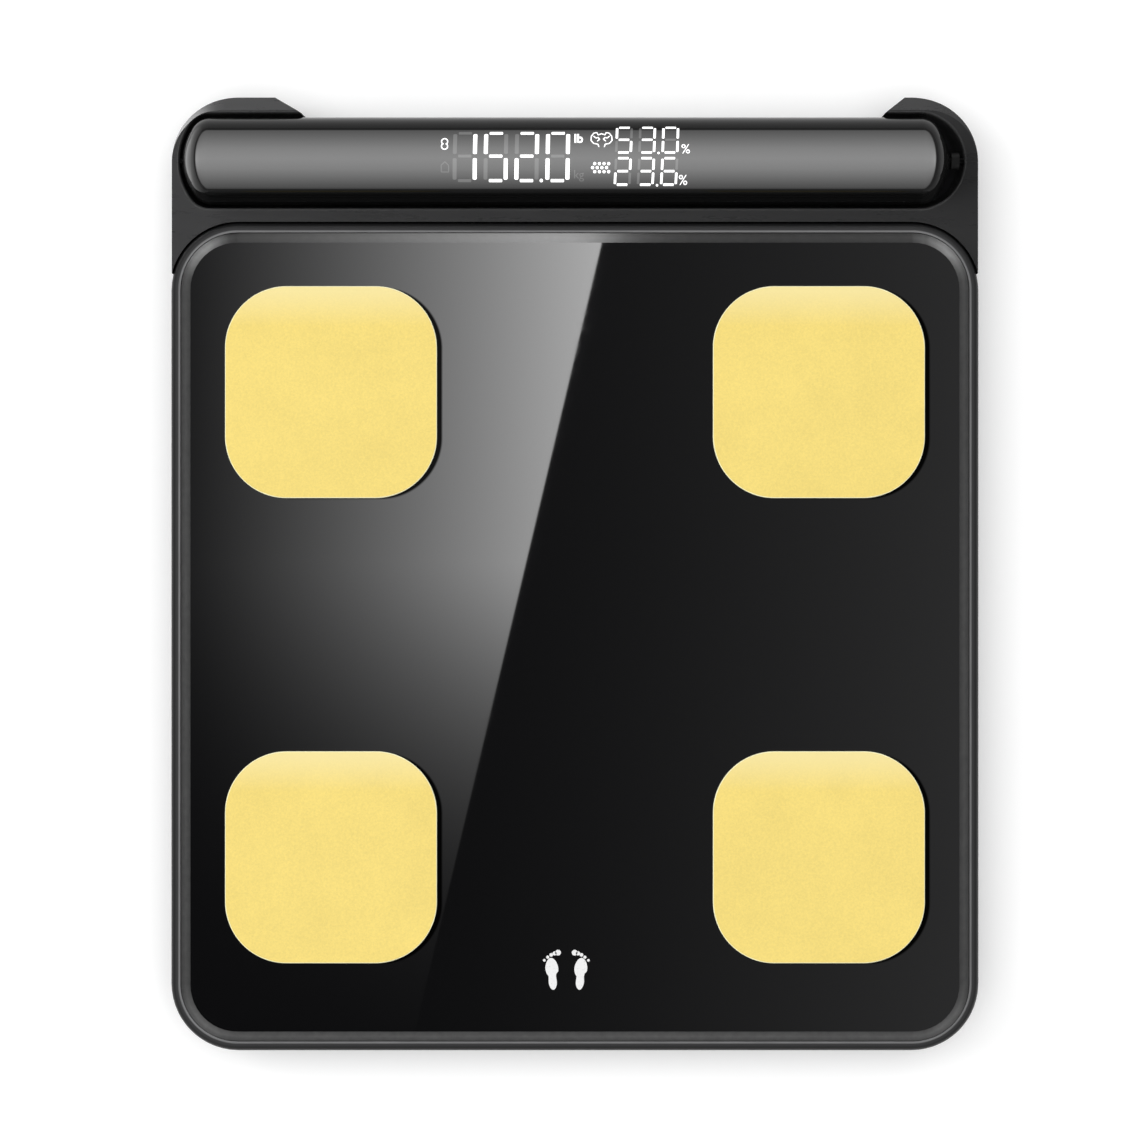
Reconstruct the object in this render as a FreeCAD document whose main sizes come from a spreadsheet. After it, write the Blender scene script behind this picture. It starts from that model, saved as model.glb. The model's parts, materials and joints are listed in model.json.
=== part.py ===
"""Digital bathroom scale with a glass platform and a tilting display barrel, as an assembly of separate pieces.

Frame: +Z up, +Y towards the display barrel, +X to the right of someone standing on the scale.
The origin is on the floor, under the centre of the scale's outline. All lengths are in millimetres.
Each sub-part is one object whose sizes are bound to the sheet; it is written to parts/LABEL.step.
"""

import FreeCAD, Part
import math
import os
from types import SimpleNamespace

import Sketcher

Vector = FreeCAD.Vector

# Driving dimensions, all kept in the sheet.
DIMENSIONS = {
    # Whole scale
    "overall_width": 264.0,
    "overall_depth": 312.0,
    "corner_radius": 21.5,
    "base_bottom": 3.4,
    "split_height": 13.0,
    "wall": 2.2,
    "floor_thickness": 2.2,
    "base_edge_radius": 3.0,
    # Platform frame and glass
    "frame_depth": 270.5,
    "frame_radius": 22.0,
    "rim_height": 23.0,
    "rim_edge_radius": 2.4,
    "rim_width": 3.6,
    "glass_gap": 0.4,
    "plate_thickness": 1.8,
    "seat_height": 19.0,
    "adhesive_thickness": 0.6,
    "adhesive_width": 14.0,
    "glass_thickness": 6.0,
    "bevel_width": 3.2,
    "bevel_height": 1.2,
    "rib_thickness": 1.2,
    "rib_depth": 3.0,
    # Electrodes on the glass
    "electrode_size": 69.0,
    "electrode_radius": 20.0,
    "electrode_thickness": 0.8,
    "electrode_edge": 0.35,
    "electrode_x": 79.4,
    "electrode_front_y": -92.4,
    "electrode_rear_y": 59.0,
    "stud_radius": 1.5,
    "stud_clearance": 0.1,
    "stud_bottom": 15.2,
    # Rear cover
    "cover_inset": 0.3,
    "deck_height": 22.2,
    "cover_gap": 0.4,
    "lip_radius": 1.0,
    "horn_slope_width": 4.6,
    "horn_slope_height": 3.6,
    # Display barrel: its axis, its ends and the cradle around it
    "barrel_y": 134.9,
    "barrel_z": 20.3,
    "barrel_radius": 14.25,
    "barrel_wall": 1.6,
    "barrel_left": -128.4,
    "barrel_right": 122.4,
    "dome_depth": 9.5,
    "dome_knuckle": 7.0,
    "cradle_gap": 1.2,
    "cradle_left": -129.2,
    "cradle_left_depth": 9.9,
    "cradle_left_knuckle": 7.3,
    "cradle_right": 127.2,
    "cradle_right_depth": 14.4,
    "cradle_right_knuckle": 12.0,
    "pivot_radius": 1.0,
    "pivot_clearance": 0.05,
    "pivot_seat_left": 2.0,
    "pivot_seat_right": 3.0,
    "pivot_reach": 7.0,
    "collar_radius": 2.8,
    "collar_length": 2.6,
    "cap_spigot": 5.0,
    "cap_bore_depth": 8.0,
    # Notch behind the barrel, between the horns
    "notch_front_y": 141.0,
    "notch_left_rear_x": -98.3,
    "notch_left_front_x": -74.3,
    "notch_right_rear_x": 108.1,
    "notch_right_front_x": 90.0,
    # Display parts inside the barrel
    "lcd_width": 20.0,
    "lcd_length": 88.0,
    "lcd_thickness": 1.8,
    "lcd_rise": 5.9,
    "lcd_x": -3.2,
    "backlight_thickness": 2.0,
    "board_thickness": 1.6,
    "display_board_length": 112.0,
    "chassis_length": 190.0,
    "chassis_width": 24.8,
    # Feet and load cells
    "foot_x": 96.0,
    "foot_front_y": -120.0,
    "foot_rear_y": 82.0,
    "well_radius": 21.0,
    "well_wall": 4.0,
    "cell_height": 9.6,
    "cell_size": 36.0,
    "cell_thickness": 1.2,
    "gauge_y": -12.4,
    "tongue_width": 12.0,
    "slot_width": 1.6,
    "bracket_inner_radius": 17.0,
    "bracket_thickness": 2.2,
    "bracket_screw_circle": 22.6,
    "foot_radius": 19.6,
    "pad_radius": 17.5,
    "pad_height": 2.6,
    "pad_groove_depth": 0.7,
    "cup_height": 4.6,
    "boss_radius": 5.0,
    # Battery bay and door
    "cell_pitch": 10.7,
    "battery_radius": 5.15,
    "battery_length": 43.6,
    "bay_width": 44.0,
    "bay_front_y": 36.0,
    "bay_length": 52.5,
    "bay_wall": 1.4,
    "bay_ceiling": 16.1,
    "bay_top": 17.0,
    "door_opening_width": 50.0,
    "door_opening_length": 58.0,
    "door_front_y": 34.0,
    "door_gap": 0.3,
    "door_thickness": 1.6,
    "hook_width": 4.0,
    # Main board, button and fasteners
    "board_x": 0.0,
    "board_y": -14.0,
    "board_width": 64.0,
    "board_depth": 38.0,
    "board_height": 11.4,
    "button_x": 20.0,
    "button_y": -6.0,
    "button_radius": 4.6,
    "button_travel": 0.5,
    "screw_radius": 1.3,
    "screw_head_radius": 2.7,
    "screw_head_height": 1.8,
    "small_screw_radius": 0.9,
    "small_head_radius": 1.8,
    "small_head_height": 1.2,
    "pilot_depth": 4.0,
}

LEFT_RIGHT = (("left", -1), ("right", 1))
HOUSING_SCREWS = ((-56, -143), (56, -143), (-121, -20), (121, -20), (-58, 104), (58, 104))
LEAD_RADIUS = 0.65
LEAD_X = -46.0


class Size:
    """A length: its value in millimetres, and the sheet expression that gives it."""

    def __init__(self, value, text):
        self.value = float(value)
        self.text = text

    def __add__(self, other):
        other = size(other)
        return Size(self.value + other.value, f"({self.text} + {other.text})")

    def __sub__(self, other):
        other = size(other)
        return Size(self.value - other.value, f"({self.text} - {other.text})")

    def __mul__(self, other):
        other = size(other)
        return Size(self.value * other.value, f"({self.text} * {other.text})")

    def __truediv__(self, other):
        other = size(other)
        return Size(self.value / other.value, f"({self.text} / {other.text})")

    def __neg__(self):
        return Size(-self.value, f"(0 - {self.text})")


def size(length):
    """length as a Size, where a plain number stands for itself."""
    return length if isinstance(length, Size) else Size(length, f"({float(length)})")


def make_sheet(doc):
    """The sheet of driving dimensions, and the same sizes as Size objects by name."""
    sheet = doc.addObject("Spreadsheet::Sheet", "Sizes")
    for row, (name, value) in enumerate(DIMENSIONS.items(), 1):
        sheet.set(f"A{row}", str(value))
        sheet.setAlias(f"A{row}", name)
    doc.recompute()
    return SimpleNamespace(**{n: Size(v, f"Sizes.{n}") for n, v in DIMENSIONS.items()})


DOC = FreeCAD.newDocument("BathroomScale")
S = make_sheet(DOC)

# Sizes that several sub-parts share, worked out from the driving ones.
FLOOR_TOP = S.base_bottom + S.floor_thickness
FRAME_FRONT_Y = -(S.overall_depth / 2)
FRAME_REAR_Y = S.frame_depth - S.overall_depth / 2
FRAME_Y = (FRAME_FRONT_Y + FRAME_REAR_Y) / 2
PLATE_BOTTOM = S.seat_height - S.plate_thickness
GLASS_WIDTH = S.overall_width - S.rim_width * 2
GLASS_DEPTH = S.frame_depth - S.rim_width * 2
GLASS_RADIUS = S.frame_radius - S.rim_width
GLASS_BOTTOM = S.seat_height + S.adhesive_thickness
GLASS_TOP = GLASS_BOTTOM + S.glass_thickness
SEAM_LEFT = S.barrel_left + S.dome_depth
SEAM_RIGHT = S.barrel_right - S.dome_depth
BARREL_INNER = S.barrel_radius - S.barrel_wall
CORNERS = tuple(
    (f"{row}_{side}", S.foot_x * sign, y)
    for row, y in (("front", S.foot_front_y), ("rear", S.foot_rear_y))
    for side, sign in LEFT_RIGHT
)


# ---- Document helpers -------------------------------------------------------------------------------


def bind(target, name, length):
    """Gives a property the length, as an expression of the sheet."""
    target.setExpression(name, size(length).text)


def place(target, x=0, y=0, z=0):
    """Binds the target's position to the sheet."""
    for axis, length in zip("xyz", (x, y, z)):
        bind(target, f"Placement.Base.{axis}", length)


def new_body(label):
    body = DOC.addObject("PartDesign::Body", label)
    body.Label = label
    return body


def sketch_on(body, name, plane="XY", x=0, y=0, z=0):
    """A sketch parallel to one of the body's origin planes, with its origin at (x, y, z)."""
    sketch = body.newObject("Sketcher::SketchObject", name)
    support = next(f for f in body.Origin.OriginFeatures if f.Role == f"{plane}_Plane")
    sketch.AttachmentSupport = [(support, "")]
    sketch.MapMode = "FlatFace"
    along = {"XY": (x, y, z), "XZ": (x, z, -size(y)), "YZ": (y, z, x)}[plane]
    for axis, length in zip("xyz", along):
        bind(sketch, f"AttachmentOffset.Base.{axis}", length)
    return sketch


def name_constraint(sketch, index, length):
    """Binds one dimensional constraint of the sketch to the length."""
    sketch.renameConstraint(index, f"d{index}")
    bind(sketch, f"Constraints.d{index}", length)


def fix_point(sketch, geometry, position, x=None, y=None):
    """Holds a sketch point at x and y from the sketch's origin; None leaves that one free."""
    for kind, axis, length in (("DistanceX", -2, x), ("DistanceY", -1, y)):
        if length is None:
            continue
        length = size(length)
        if abs(length.value) < 1e-9:
            sketch.addConstraint(Sketcher.Constraint("PointOnObject", geometry, position, axis))
        elif length.value > 0:
            made = Sketcher.Constraint(kind, -1, 1, geometry, position, length.value)
            name_constraint(sketch, sketch.addConstraint(made), length)
        else:
            made = Sketcher.Constraint(kind, geometry, position, -1, 1, -length.value)
            name_constraint(sketch, sketch.addConstraint(made), -length)


def fix_radius(sketch, geometry, radius):
    made = Sketcher.Constraint("Radius", geometry, size(radius).value)
    name_constraint(sketch, sketch.addConstraint(made), radius)


def add_circle(sketch, radius, x=0, y=0):
    centre = Vector(size(x).value, size(y).value, 0)
    circle = sketch.addGeometry(Part.Circle(centre, Vector(0, 0, 1), size(radius).value))
    fix_radius(sketch, circle, radius)
    fix_point(sketch, circle, 3, x, y)


def add_polygon(sketch, points):
    """A closed polygon through the points, each a pair of lengths."""
    corners = [(size(x), size(y)) for x, y in points]
    places = [Vector(x.value, y.value, 0) for x, y in corners]
    lines = [
        sketch.addGeometry(Part.LineSegment(places[i], places[(i + 1) % len(places)]))
        for i in range(len(places))
    ]
    for i, line in enumerate(lines):
        following = lines[(i + 1) % len(lines)]
        sketch.addConstraint(Sketcher.Constraint("Coincident", line, 2, following, 1))
        fix_point(sketch, line, 1, *corners[i])


def add_box(sketch, width, depth, x=0, y=0):
    """A rectangle centred on (x, y)."""
    half_w, half_d = size(width) / 2, size(depth) / 2
    x, y = size(x), size(y)
    low_x, high_x, low_y, high_y = x - half_w, x + half_w, y - half_d, y + half_d
    add_polygon(sketch, [(low_x, low_y), (high_x, low_y), (high_x, high_y), (low_x, high_y)])


def add_rounded_box(sketch, width, depth, radius, x=0, y=0):
    """A rectangle with round corners, centred on (x, y)."""
    width, depth, radius, x, y = (size(v) for v in (width, depth, radius, x, y))
    half_w, half_d, r = width.value / 2, depth.value / 2, radius.value
    arcs = []
    for sign_x, sign_y, start in ((1, 1, 0), (-1, 1, 90), (-1, -1, 180), (1, -1, 270)):
        centre = Vector(x.value + sign_x * (half_w - r), y.value + sign_y * (half_d - r), 0)
        circle = Part.Circle(centre, Vector(0, 0, 1), r)
        low, high = math.radians(start), math.radians(start + 90)
        arcs.append(sketch.addGeometry(Part.ArcOfCircle(circle, low, high)))
    for i, arc in enumerate(arcs):
        following = arcs[(i + 1) % 4]
        ends = sketch.getPoint(arc, 2), sketch.getPoint(following, 1)
        line = sketch.addGeometry(Part.LineSegment(*ends))
        kind = "Horizontal" if i % 2 == 0 else "Vertical"
        sketch.addConstraint(Sketcher.Constraint(kind, line))
        sketch.addConstraint(Sketcher.Constraint("Tangent", arc, 2, line, 1))
        sketch.addConstraint(Sketcher.Constraint("Tangent", line, 2, following, 1))
        if i:
            sketch.addConstraint(Sketcher.Constraint("Equal", arcs[0], arc))
    fix_radius(sketch, arcs[0], radius)
    fix_point(sketch, arcs[0], 3, x + width / 2 - radius, y + depth / 2 - radius)
    fix_point(sketch, arcs[2], 3, x - width / 2 + radius, y - depth / 2 + radius)


def finish_feature(feature, sketch=None):
    """Recomputes a feature and stops on the first that fails."""
    if sketch is not None and sketch.solve() != 0:
        raise RuntimeError(f"{sketch.Label} is badly constrained")
    DOC.recompute()
    if "Invalid" in feature.State or "Error" in feature.State:
        raise RuntimeError(f"{feature.Name} failed: {feature.State}")
    return feature


def pad(body, sketch, length, reverse=False):
    feature = body.newObject("PartDesign::Pad", "Pad")
    feature.Profile = sketch
    feature.Reversed = reverse
    bind(feature, "Length", length)
    return finish_feature(feature, sketch)


def pocket(body, sketch, length):
    """Cuts from the sketch upwards, along the sketch's normal."""
    before = body.Shape.Volume
    feature = body.newObject("PartDesign::Pocket", "Pocket")
    feature.Profile = sketch
    feature.Reversed = True
    bind(feature, "Length", length)
    finish_feature(feature, sketch)
    if body.Shape.Volume > before - 1e-3:
        raise RuntimeError(f"{body.Label}: {sketch.Label} cuts nothing")
    return feature


def turn(body, sketch, kind="Revolution", axis="H_Axis", angle=360, reverse=False):
    """Adds or cuts a body of revolution about one of the sketch's axes."""
    before = body.Shape.Volume if kind == "Groove" else 0
    feature = body.newObject(f"PartDesign::{kind}", kind)
    feature.Profile = sketch
    feature.ReferenceAxis = (sketch, [axis])
    feature.Angle = angle
    feature.Reversed = reverse
    finish_feature(feature, sketch)
    if kind == "Groove" and body.Shape.Volume > before - 1e-3:
        raise RuntimeError(f"{body.Label}: {sketch.Label} cuts nothing")
    return feature


def dress(body, kind, edges, length, second=None):
    """A Fillet or Chamfer on the edges that the test picks out."""
    tip = body.Tip
    names = [f"Edge{i}" for i, e in enumerate(tip.Shape.Edges, 1) if edges(e)]
    feature = body.newObject(f"PartDesign::{kind}", kind)
    feature.Base = (tip, names)
    if kind == "Fillet":
        bind(feature, "Radius", length)
    else:
        bind(feature, "Size", length)
        if second is not None:
            feature.ChamferType = "Two distances"
            bind(feature, "Size2", second)
    return finish_feature(feature)


def level(height):
    """A test for the edges that lie at one height."""
    z = size(height).value
    return lambda e: abs(e.BoundBox.ZMin - z) < 1e-4 and abs(e.BoundBox.ZMax - z) < 1e-4


def outer_level(height, width, depth, y=0):
    """A test for the edges of the outline, at one height, that reach a box's sides."""
    at_level, half_w, half_d = level(height), size(width).value / 2, size(depth).value / 2
    middle = size(y).value

    def test(e):
        if not at_level(e):
            return False
        p = e.valueAt((e.FirstParameter + e.LastParameter) / 2)
        on_side = abs(abs(p.x) - half_w) < 7 and abs(p.y - middle) < half_d + 1
        on_end = abs(abs(p.y - middle) - half_d) < 7 and abs(p.x) < half_w + 1
        return on_side or on_end

    return test


def group(label, solids):
    """One sub-part made of several separate solids."""
    compound = DOC.addObject("Part::Compound", label)
    compound.Label = label
    compound.Links = solids
    return finish_feature(compound)


def cylinder(radius, height, x=0, y=0, z=0, rotation=None):
    solid = DOC.addObject("Part::Cylinder", "Cylinder")
    bind(solid, "Radius", radius)
    bind(solid, "Height", height)
    if rotation is not None:
        solid.Placement = FreeCAD.Placement(Vector(0, 0, 0), rotation)
    place(solid, x, y, z)
    return solid


def block(length, width, height, x=0, y=0, z=0):
    """A box centred on (x, y) that stands on z."""
    solid = DOC.addObject("Part::Box", "Box")
    length, width = size(length), size(width)
    bind(solid, "Length", length)
    bind(solid, "Width", width)
    bind(solid, "Height", height)
    place(solid, size(x) - length / 2, size(y) - width / 2, z)
    return solid


def fuse(label, solids):
    fused = DOC.addObject("Part::MultiFuse", label)
    fused.Label = label
    fused.Shapes = solids
    return finish_feature(fused)


def featured(label, shape):
    """A sub-part whose shape comes from Part's own functions."""
    feature = DOC.addObject("Part::Feature", label)
    feature.Label = label
    feature.Shape = shape
    feature.Placement = FreeCAD.Placement()
    return feature


ALONG_X = FreeCAD.Rotation(Vector(0, 1, 0), 90)
ALONG_Y = FreeCAD.Rotation(Vector(1, 0, 0), -90)


# ---- Shapes shared by the barrel and its cradle -----------------------------------------------------


def crown_radius(radius, depth, knuckle):
    """The crown of a dome of that depth whose knuckle meets a cylinder of that radius."""
    rise = radius - knuckle
    return (depth * depth + rise * rise - knuckle * knuckle) / ((depth - knuckle) * 2)


def add_dome(sketch, shoulder, radius, depth, knuckle, sign, stop=0.0):
    """A domed end on the sketch's H axis: a knuckle arc and a crown arc that ends at height stop.

    shoulder is where the cylinder ends, and sign is +1 for a dome that points to +X.
    Returns both arcs, the end of each that is left free, and where the crown ends along the axis."""
    radius, depth, knuckle = size(radius), size(depth), size(knuckle)
    crown_size = crown_radius(radius, depth, knuckle)
    s, r, d, k = (size(v).value for v in (shoulder, radius, depth, knuckle))
    crown = crown_size.value
    reach = crown - d
    bend = math.atan2(r - k, reach)
    low = math.asin(stop / crown)
    knuckle_circle = Part.Circle(Vector(s, r - k, 0), Vector(0, 0, 1), k)
    crown_circle = Part.Circle(Vector(s - sign * reach, 0, 0), Vector(0, 0, 1), crown)
    if sign > 0:
        knuckle_arc = Part.ArcOfCircle(knuckle_circle, bend, math.pi / 2)
        crown_arc = Part.ArcOfCircle(crown_circle, low, bend)
    else:
        knuckle_arc = Part.ArcOfCircle(knuckle_circle, math.pi / 2, math.pi - bend)
        crown_arc = Part.ArcOfCircle(crown_circle, math.pi - bend, math.pi - low)
    first, second = sketch.addGeometry(knuckle_arc), sketch.addGeometry(crown_arc)
    knuckle_low, crown_high = (1, 2) if sign > 0 else (2, 1)
    made = Sketcher.Constraint("Tangent", first, knuckle_low, second, crown_high)
    sketch.addConstraint(made)
    sketch.addConstraint(Sketcher.Constraint("PointOnObject", second, 3, -1))
    fix_radius(sketch, first, knuckle)
    fix_radius(sketch, second, crown_size)
    fix_point(sketch, first, 3, shoulder, radius - knuckle)
    tip = s - sign * reach + sign * math.sqrt(crown**2 - stop**2)
    return first, second, 3 - knuckle_low, 3 - crown_high, tip


def add_cradle(sketch):
    """Half of the capsule-shaped space that the barrel turns in, closed along the H axis."""
    radius = S.barrel_radius + S.cradle_gap
    left = S.cradle_left + S.cradle_left_depth
    right = S.cradle_right - S.cradle_right_depth
    l_knuckle, l_crown, l_top, l_end, l_tip = add_dome(
        sketch, left, radius, S.cradle_left_depth, S.cradle_left_knuckle, -1
    )
    r_knuckle, r_crown, r_top, r_end, r_tip = add_dome(
        sketch, right, radius, S.cradle_right_depth, S.cradle_right_knuckle, 1
    )
    top = Part.LineSegment(
        Vector(left.value, radius.value, 0), Vector(right.value, radius.value, 0)
    )
    wall = sketch.addGeometry(top)
    axis = sketch.addGeometry(Part.LineSegment(Vector(r_tip, 0, 0), Vector(l_tip, 0, 0)))
    for made in (
        Sketcher.Constraint("Coincident", wall, 1, l_knuckle, l_top),
        Sketcher.Constraint("Coincident", wall, 2, r_knuckle, r_top),
        Sketcher.Constraint("Coincident", axis, 1, r_crown, r_end),
        Sketcher.Constraint("Coincident", axis, 2, l_crown, l_end),
    ):
        sketch.addConstraint(made)
    fix_point(sketch, wall, 1, x=left)
    fix_point(sketch, wall, 2, x=right)
    fix_point(sketch, axis, 1, y=0)
    fix_point(sketch, axis, 2, y=0)


def cut_cradle(body):
    sketch = sketch_on(body, "cradle", y=S.barrel_y, z=S.barrel_z)
    add_cradle(sketch)
    return turn(body, sketch, "Groove")


def cut_notch(body, bottom, height):
    """The gap behind the barrel, between the slanted ends of the two horns."""
    rear = S.overall_depth / 2
    beyond = 6.0
    slope_left = (S.notch_left_rear_x - S.notch_left_front_x) / (rear - S.notch_front_y).value
    slope_right = (S.notch_right_rear_x - S.notch_right_front_x) / (rear - S.notch_front_y).value
    sketch = sketch_on(body, "notch", z=bottom)
    add_polygon(
        sketch,
        [
            (S.notch_left_front_x, S.notch_front_y),
            (S.notch_right_front_x, S.notch_front_y),
            (S.notch_right_rear_x + slope_right * beyond, rear + beyond),
            (S.notch_left_rear_x + slope_left * beyond, rear + beyond),
        ],
    )
    return pocket(body, sketch, height)


# ---- Base and rear cover ----------------------------------------------------------------------------


def base_housing():
    """The lower tray: outer wall, floor, foot wells, battery bay, posts and the barrel's trough."""
    body = new_body("base_housing")
    outline = sketch_on(body, "outline", z=S.base_bottom)
    add_rounded_box(outline, S.overall_width, S.overall_depth, S.corner_radius)
    pad(body, outline, S.split_height - S.base_bottom)
    dress(body, "Fillet", level(S.base_bottom), S.base_edge_radius)

    inside_front = FRAME_FRONT_Y + S.wall
    inside_rear = FRAME_REAR_Y + 0.5
    inside = sketch_on(body, "inside", z=FLOOR_TOP)
    add_rounded_box(
        inside,
        S.overall_width - S.wall * 2,
        inside_rear - inside_front,
        S.corner_radius - S.wall,
        0,
        (inside_front + inside_rear) / 2,
    )
    pocket(body, inside, S.split_height)

    floor_middle = FLOOR_TOP - 1.0
    wells = sketch_on(body, "well_walls", z=floor_middle)
    for _, x, y in CORNERS:
        add_circle(wells, S.well_radius + S.well_wall, x, y)
    pad(body, wells, S.cell_height - floor_middle)

    posts = sketch_on(body, "screw_posts", z=floor_middle)
    for x, y in HOUSING_SCREWS:
        add_circle(posts, S.screw_head_radius + 2.0, x, y)
    pad(body, posts, S.split_height - floor_middle)

    board_posts = sketch_on(body, "board_posts", z=floor_middle)
    for x, y in board_corners():
        add_circle(board_posts, 2.6, x, y)
    pad(body, board_posts, S.board_height - floor_middle)

    bay_y = S.bay_front_y + S.bay_length / 2
    bay = sketch_on(body, "bay_walls", z=floor_middle)
    add_box(bay, S.bay_width + S.bay_wall * 2, S.bay_length + S.bay_wall * 2, 0, bay_y)
    pad(body, bay, S.bay_top - floor_middle)

    door_y = S.door_front_y + S.door_opening_length / 2
    skirt = sketch_on(body, "door_skirt", z=floor_middle)
    add_box(skirt, S.door_opening_width + 4.0, S.door_opening_length + 5.0, 0, door_y)
    pad(body, skirt, 2.2)

    ribs = sketch_on(body, "floor_ribs", z=floor_middle)
    for y in (-100, -56):
        add_box(ribs, 132, S.rib_thickness, 0, y)
    pad(body, ribs, S.rib_depth + 1.0)
    cross_ribs = sketch_on(body, "floor_cross_ribs", z=floor_middle)
    for x in (-66, 66):
        add_box(cross_ribs, S.rib_thickness, 150, x, -64)
    pad(body, cross_ribs, S.rib_depth + 1.0)

    below = S.base_bottom - 1.0
    wells_open = sketch_on(body, "well_openings", z=below)
    for _, x, y in CORNERS:
        add_circle(wells_open, S.well_radius, x, y)
    pocket(body, wells_open, S.split_height)

    screw_holes = sketch_on(body, "screw_holes", z=below)
    for x, y in HOUSING_SCREWS:
        add_circle(screw_holes, S.screw_radius + 0.2, x, y)
    pocket(body, screw_holes, S.split_height)
    head_holes = sketch_on(body, "screw_head_holes", z=below)
    for x, y in HOUSING_SCREWS:
        add_circle(head_holes, S.screw_head_radius + 0.3, x, y)
    pocket(body, head_holes, screw_seat() - below)
    pilots = sketch_on(body, "bracket_pilots", z=S.cell_height - S.pilot_depth)
    for _, x, y in CORNERS:
        for sign in (-1, 1):
            add_circle(pilots, S.small_screw_radius, x + S.bracket_screw_circle * sign, y)
    pocket(body, pilots, S.pilot_depth + 1.0)
    pilots = sketch_on(body, "board_pilots", z=S.board_height - S.pilot_depth)
    for x, y in board_corners():
        add_circle(pilots, S.small_screw_radius, x, y)
    pocket(body, pilots, S.pilot_depth + 1.0)

    bay_space = sketch_on(body, "bay_space", z=below)
    add_box(bay_space, S.bay_width, S.bay_length, 0, bay_y)
    pocket(body, bay_space, S.bay_ceiling - below)
    door_seat = sketch_on(body, "door_seat", z=below)
    add_rounded_box(door_seat, S.door_opening_width, S.door_opening_length, 2.2, 0, door_y)
    pocket(body, door_seat, S.door_thickness + 0.2 + 1.0)
    finger = sketch_on(body, "finger_notch", z=below)
    add_circle(finger, 8.0, 0, S.door_front_y + S.door_opening_length + 2.0)
    pocket(body, finger, 2.1)
    hook_slots = sketch_on(body, "hook_slots", z=FLOOR_TOP - 0.5)
    for sign in (-1, 1):
        add_box(hook_slots, S.hook_width + 0.8, 5.6, S.cell_pitch * sign, S.door_front_y + 0.4)
    pocket(body, hook_slots, 3.0)

    button_hole = sketch_on(body, "button_hole", z=below)
    add_circle(button_hole, S.button_radius + 0.3, S.button_x, S.button_y)
    pocket(body, button_hole, S.floor_thickness + 2.0)
    lead_hole = sketch_on(body, "display_lead_hole", "XZ", x=LEAD_X, y=S.barrel_y, z=10.6)
    add_circle(lead_hole, 1.5)
    pocket(body, lead_hole, 24.0)

    cut_cradle(body)
    cut_notch(body, below, S.split_height)
    return body


def screw_seat():
    """The height at which the housing screws' heads sit, inside their counterbores."""
    return S.base_bottom + 3.0


def board_corners():
    """The four screw places of the main board."""
    half_w, half_d = S.board_width / 2 - 4.0, S.board_depth / 2 - 4.0
    return [
        (S.board_x + half_w * i, S.board_y + half_d * j) for i in (-1, 1) for j in (-1, 1)
    ]


def rear_cover():
    """The upper rear shell: the deck behind the platform, and the two horns that hold the barrel."""
    body = new_body("rear_cover")
    width = S.overall_width - S.cover_inset * 2
    outline = sketch_on(body, "outline", z=S.split_height)
    add_rounded_box(outline, width, S.overall_depth, S.corner_radius)
    pad(body, outline, S.deck_height - S.split_height)

    platform = sketch_on(body, "platform_space", z=S.split_height - 1.0)
    space = S.cover_gap * 2
    add_rounded_box(
        platform,
        S.overall_width + space,
        S.frame_depth + space,
        S.frame_radius + S.cover_gap,
        0,
        FRAME_Y,
    )
    pocket(body, platform, S.deck_height)
    cut_cradle(body)

    def on_lip(e):
        p = e.valueAt((e.FirstParameter + e.LastParameter) / 2)
        radius = S.corner_radius.value
        beside = max(abs(p.x) - (width.value / 2 - radius), 0)
        behind = max(p.y - (S.overall_depth.value / 2 - radius), 0)
        inside = math.hypot(beside, behind) < radius - 1.0 and p.y > FRAME_REAR_Y.value + 2.0
        return level(S.deck_height)(e) and inside

    dress(body, "Fillet", on_lip, S.lip_radius)
    cut_notch(body, S.split_height - 1.0, S.deck_height)
    cut_horn_slopes(body, width)

    seats = sketch_on(body, "pivot_seat_left", "YZ", x=S.cradle_left - S.pivot_seat_left, y=S.barrel_y)
    add_circle(seats, S.pivot_radius, 0, S.barrel_z)
    pocket(body, seats, S.pivot_seat_left + 1.0)
    seats = sketch_on(body, "pivot_seat_right", "YZ", x=S.cradle_right - 1.0, y=S.barrel_y)
    add_circle(seats, S.pivot_radius, 0, S.barrel_z)
    pocket(body, seats, S.pivot_seat_right + 1.0)
    return body


def cut_horn_slopes(body, width):
    """Slopes the horns' outer top edge: a crescent round each rear corner, then the rear edge.

    The crescent is cut by a cone that touches the side wall where the corner begins."""
    run, fall, over = S.horn_slope_width, S.horn_slope_height, 8.0
    radius = S.corner_radius - run
    steep = fall / run
    section = [
        (radius, S.deck_height),
        (radius + over, S.deck_height - steep * over),
        (radius + over, S.deck_height + 1.0),
        (radius, S.deck_height + 1.0),
    ]
    for side, sign in LEFT_RIGHT:
        x = (width / 2 - radius) * sign
        y = S.overall_depth / 2 - S.corner_radius
        corner = sketch_on(body, f"corner_slope_{side}", "XZ", x=x, y=y)
        add_polygon(corner, [(r * sign, z) for r, z in section])
        turn(body, corner, "Groove", "V_Axis", 90, reverse=sign < 0)
        start = x if sign < 0 else x - 60.0
        edge = sketch_on(body, f"edge_slope_{side}", "YZ", x=start, y=y)
        add_polygon(edge, section)
        pocket(body, edge, 60.0)


# ---- Platform ---------------------------------------------------------------------------------------


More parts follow.
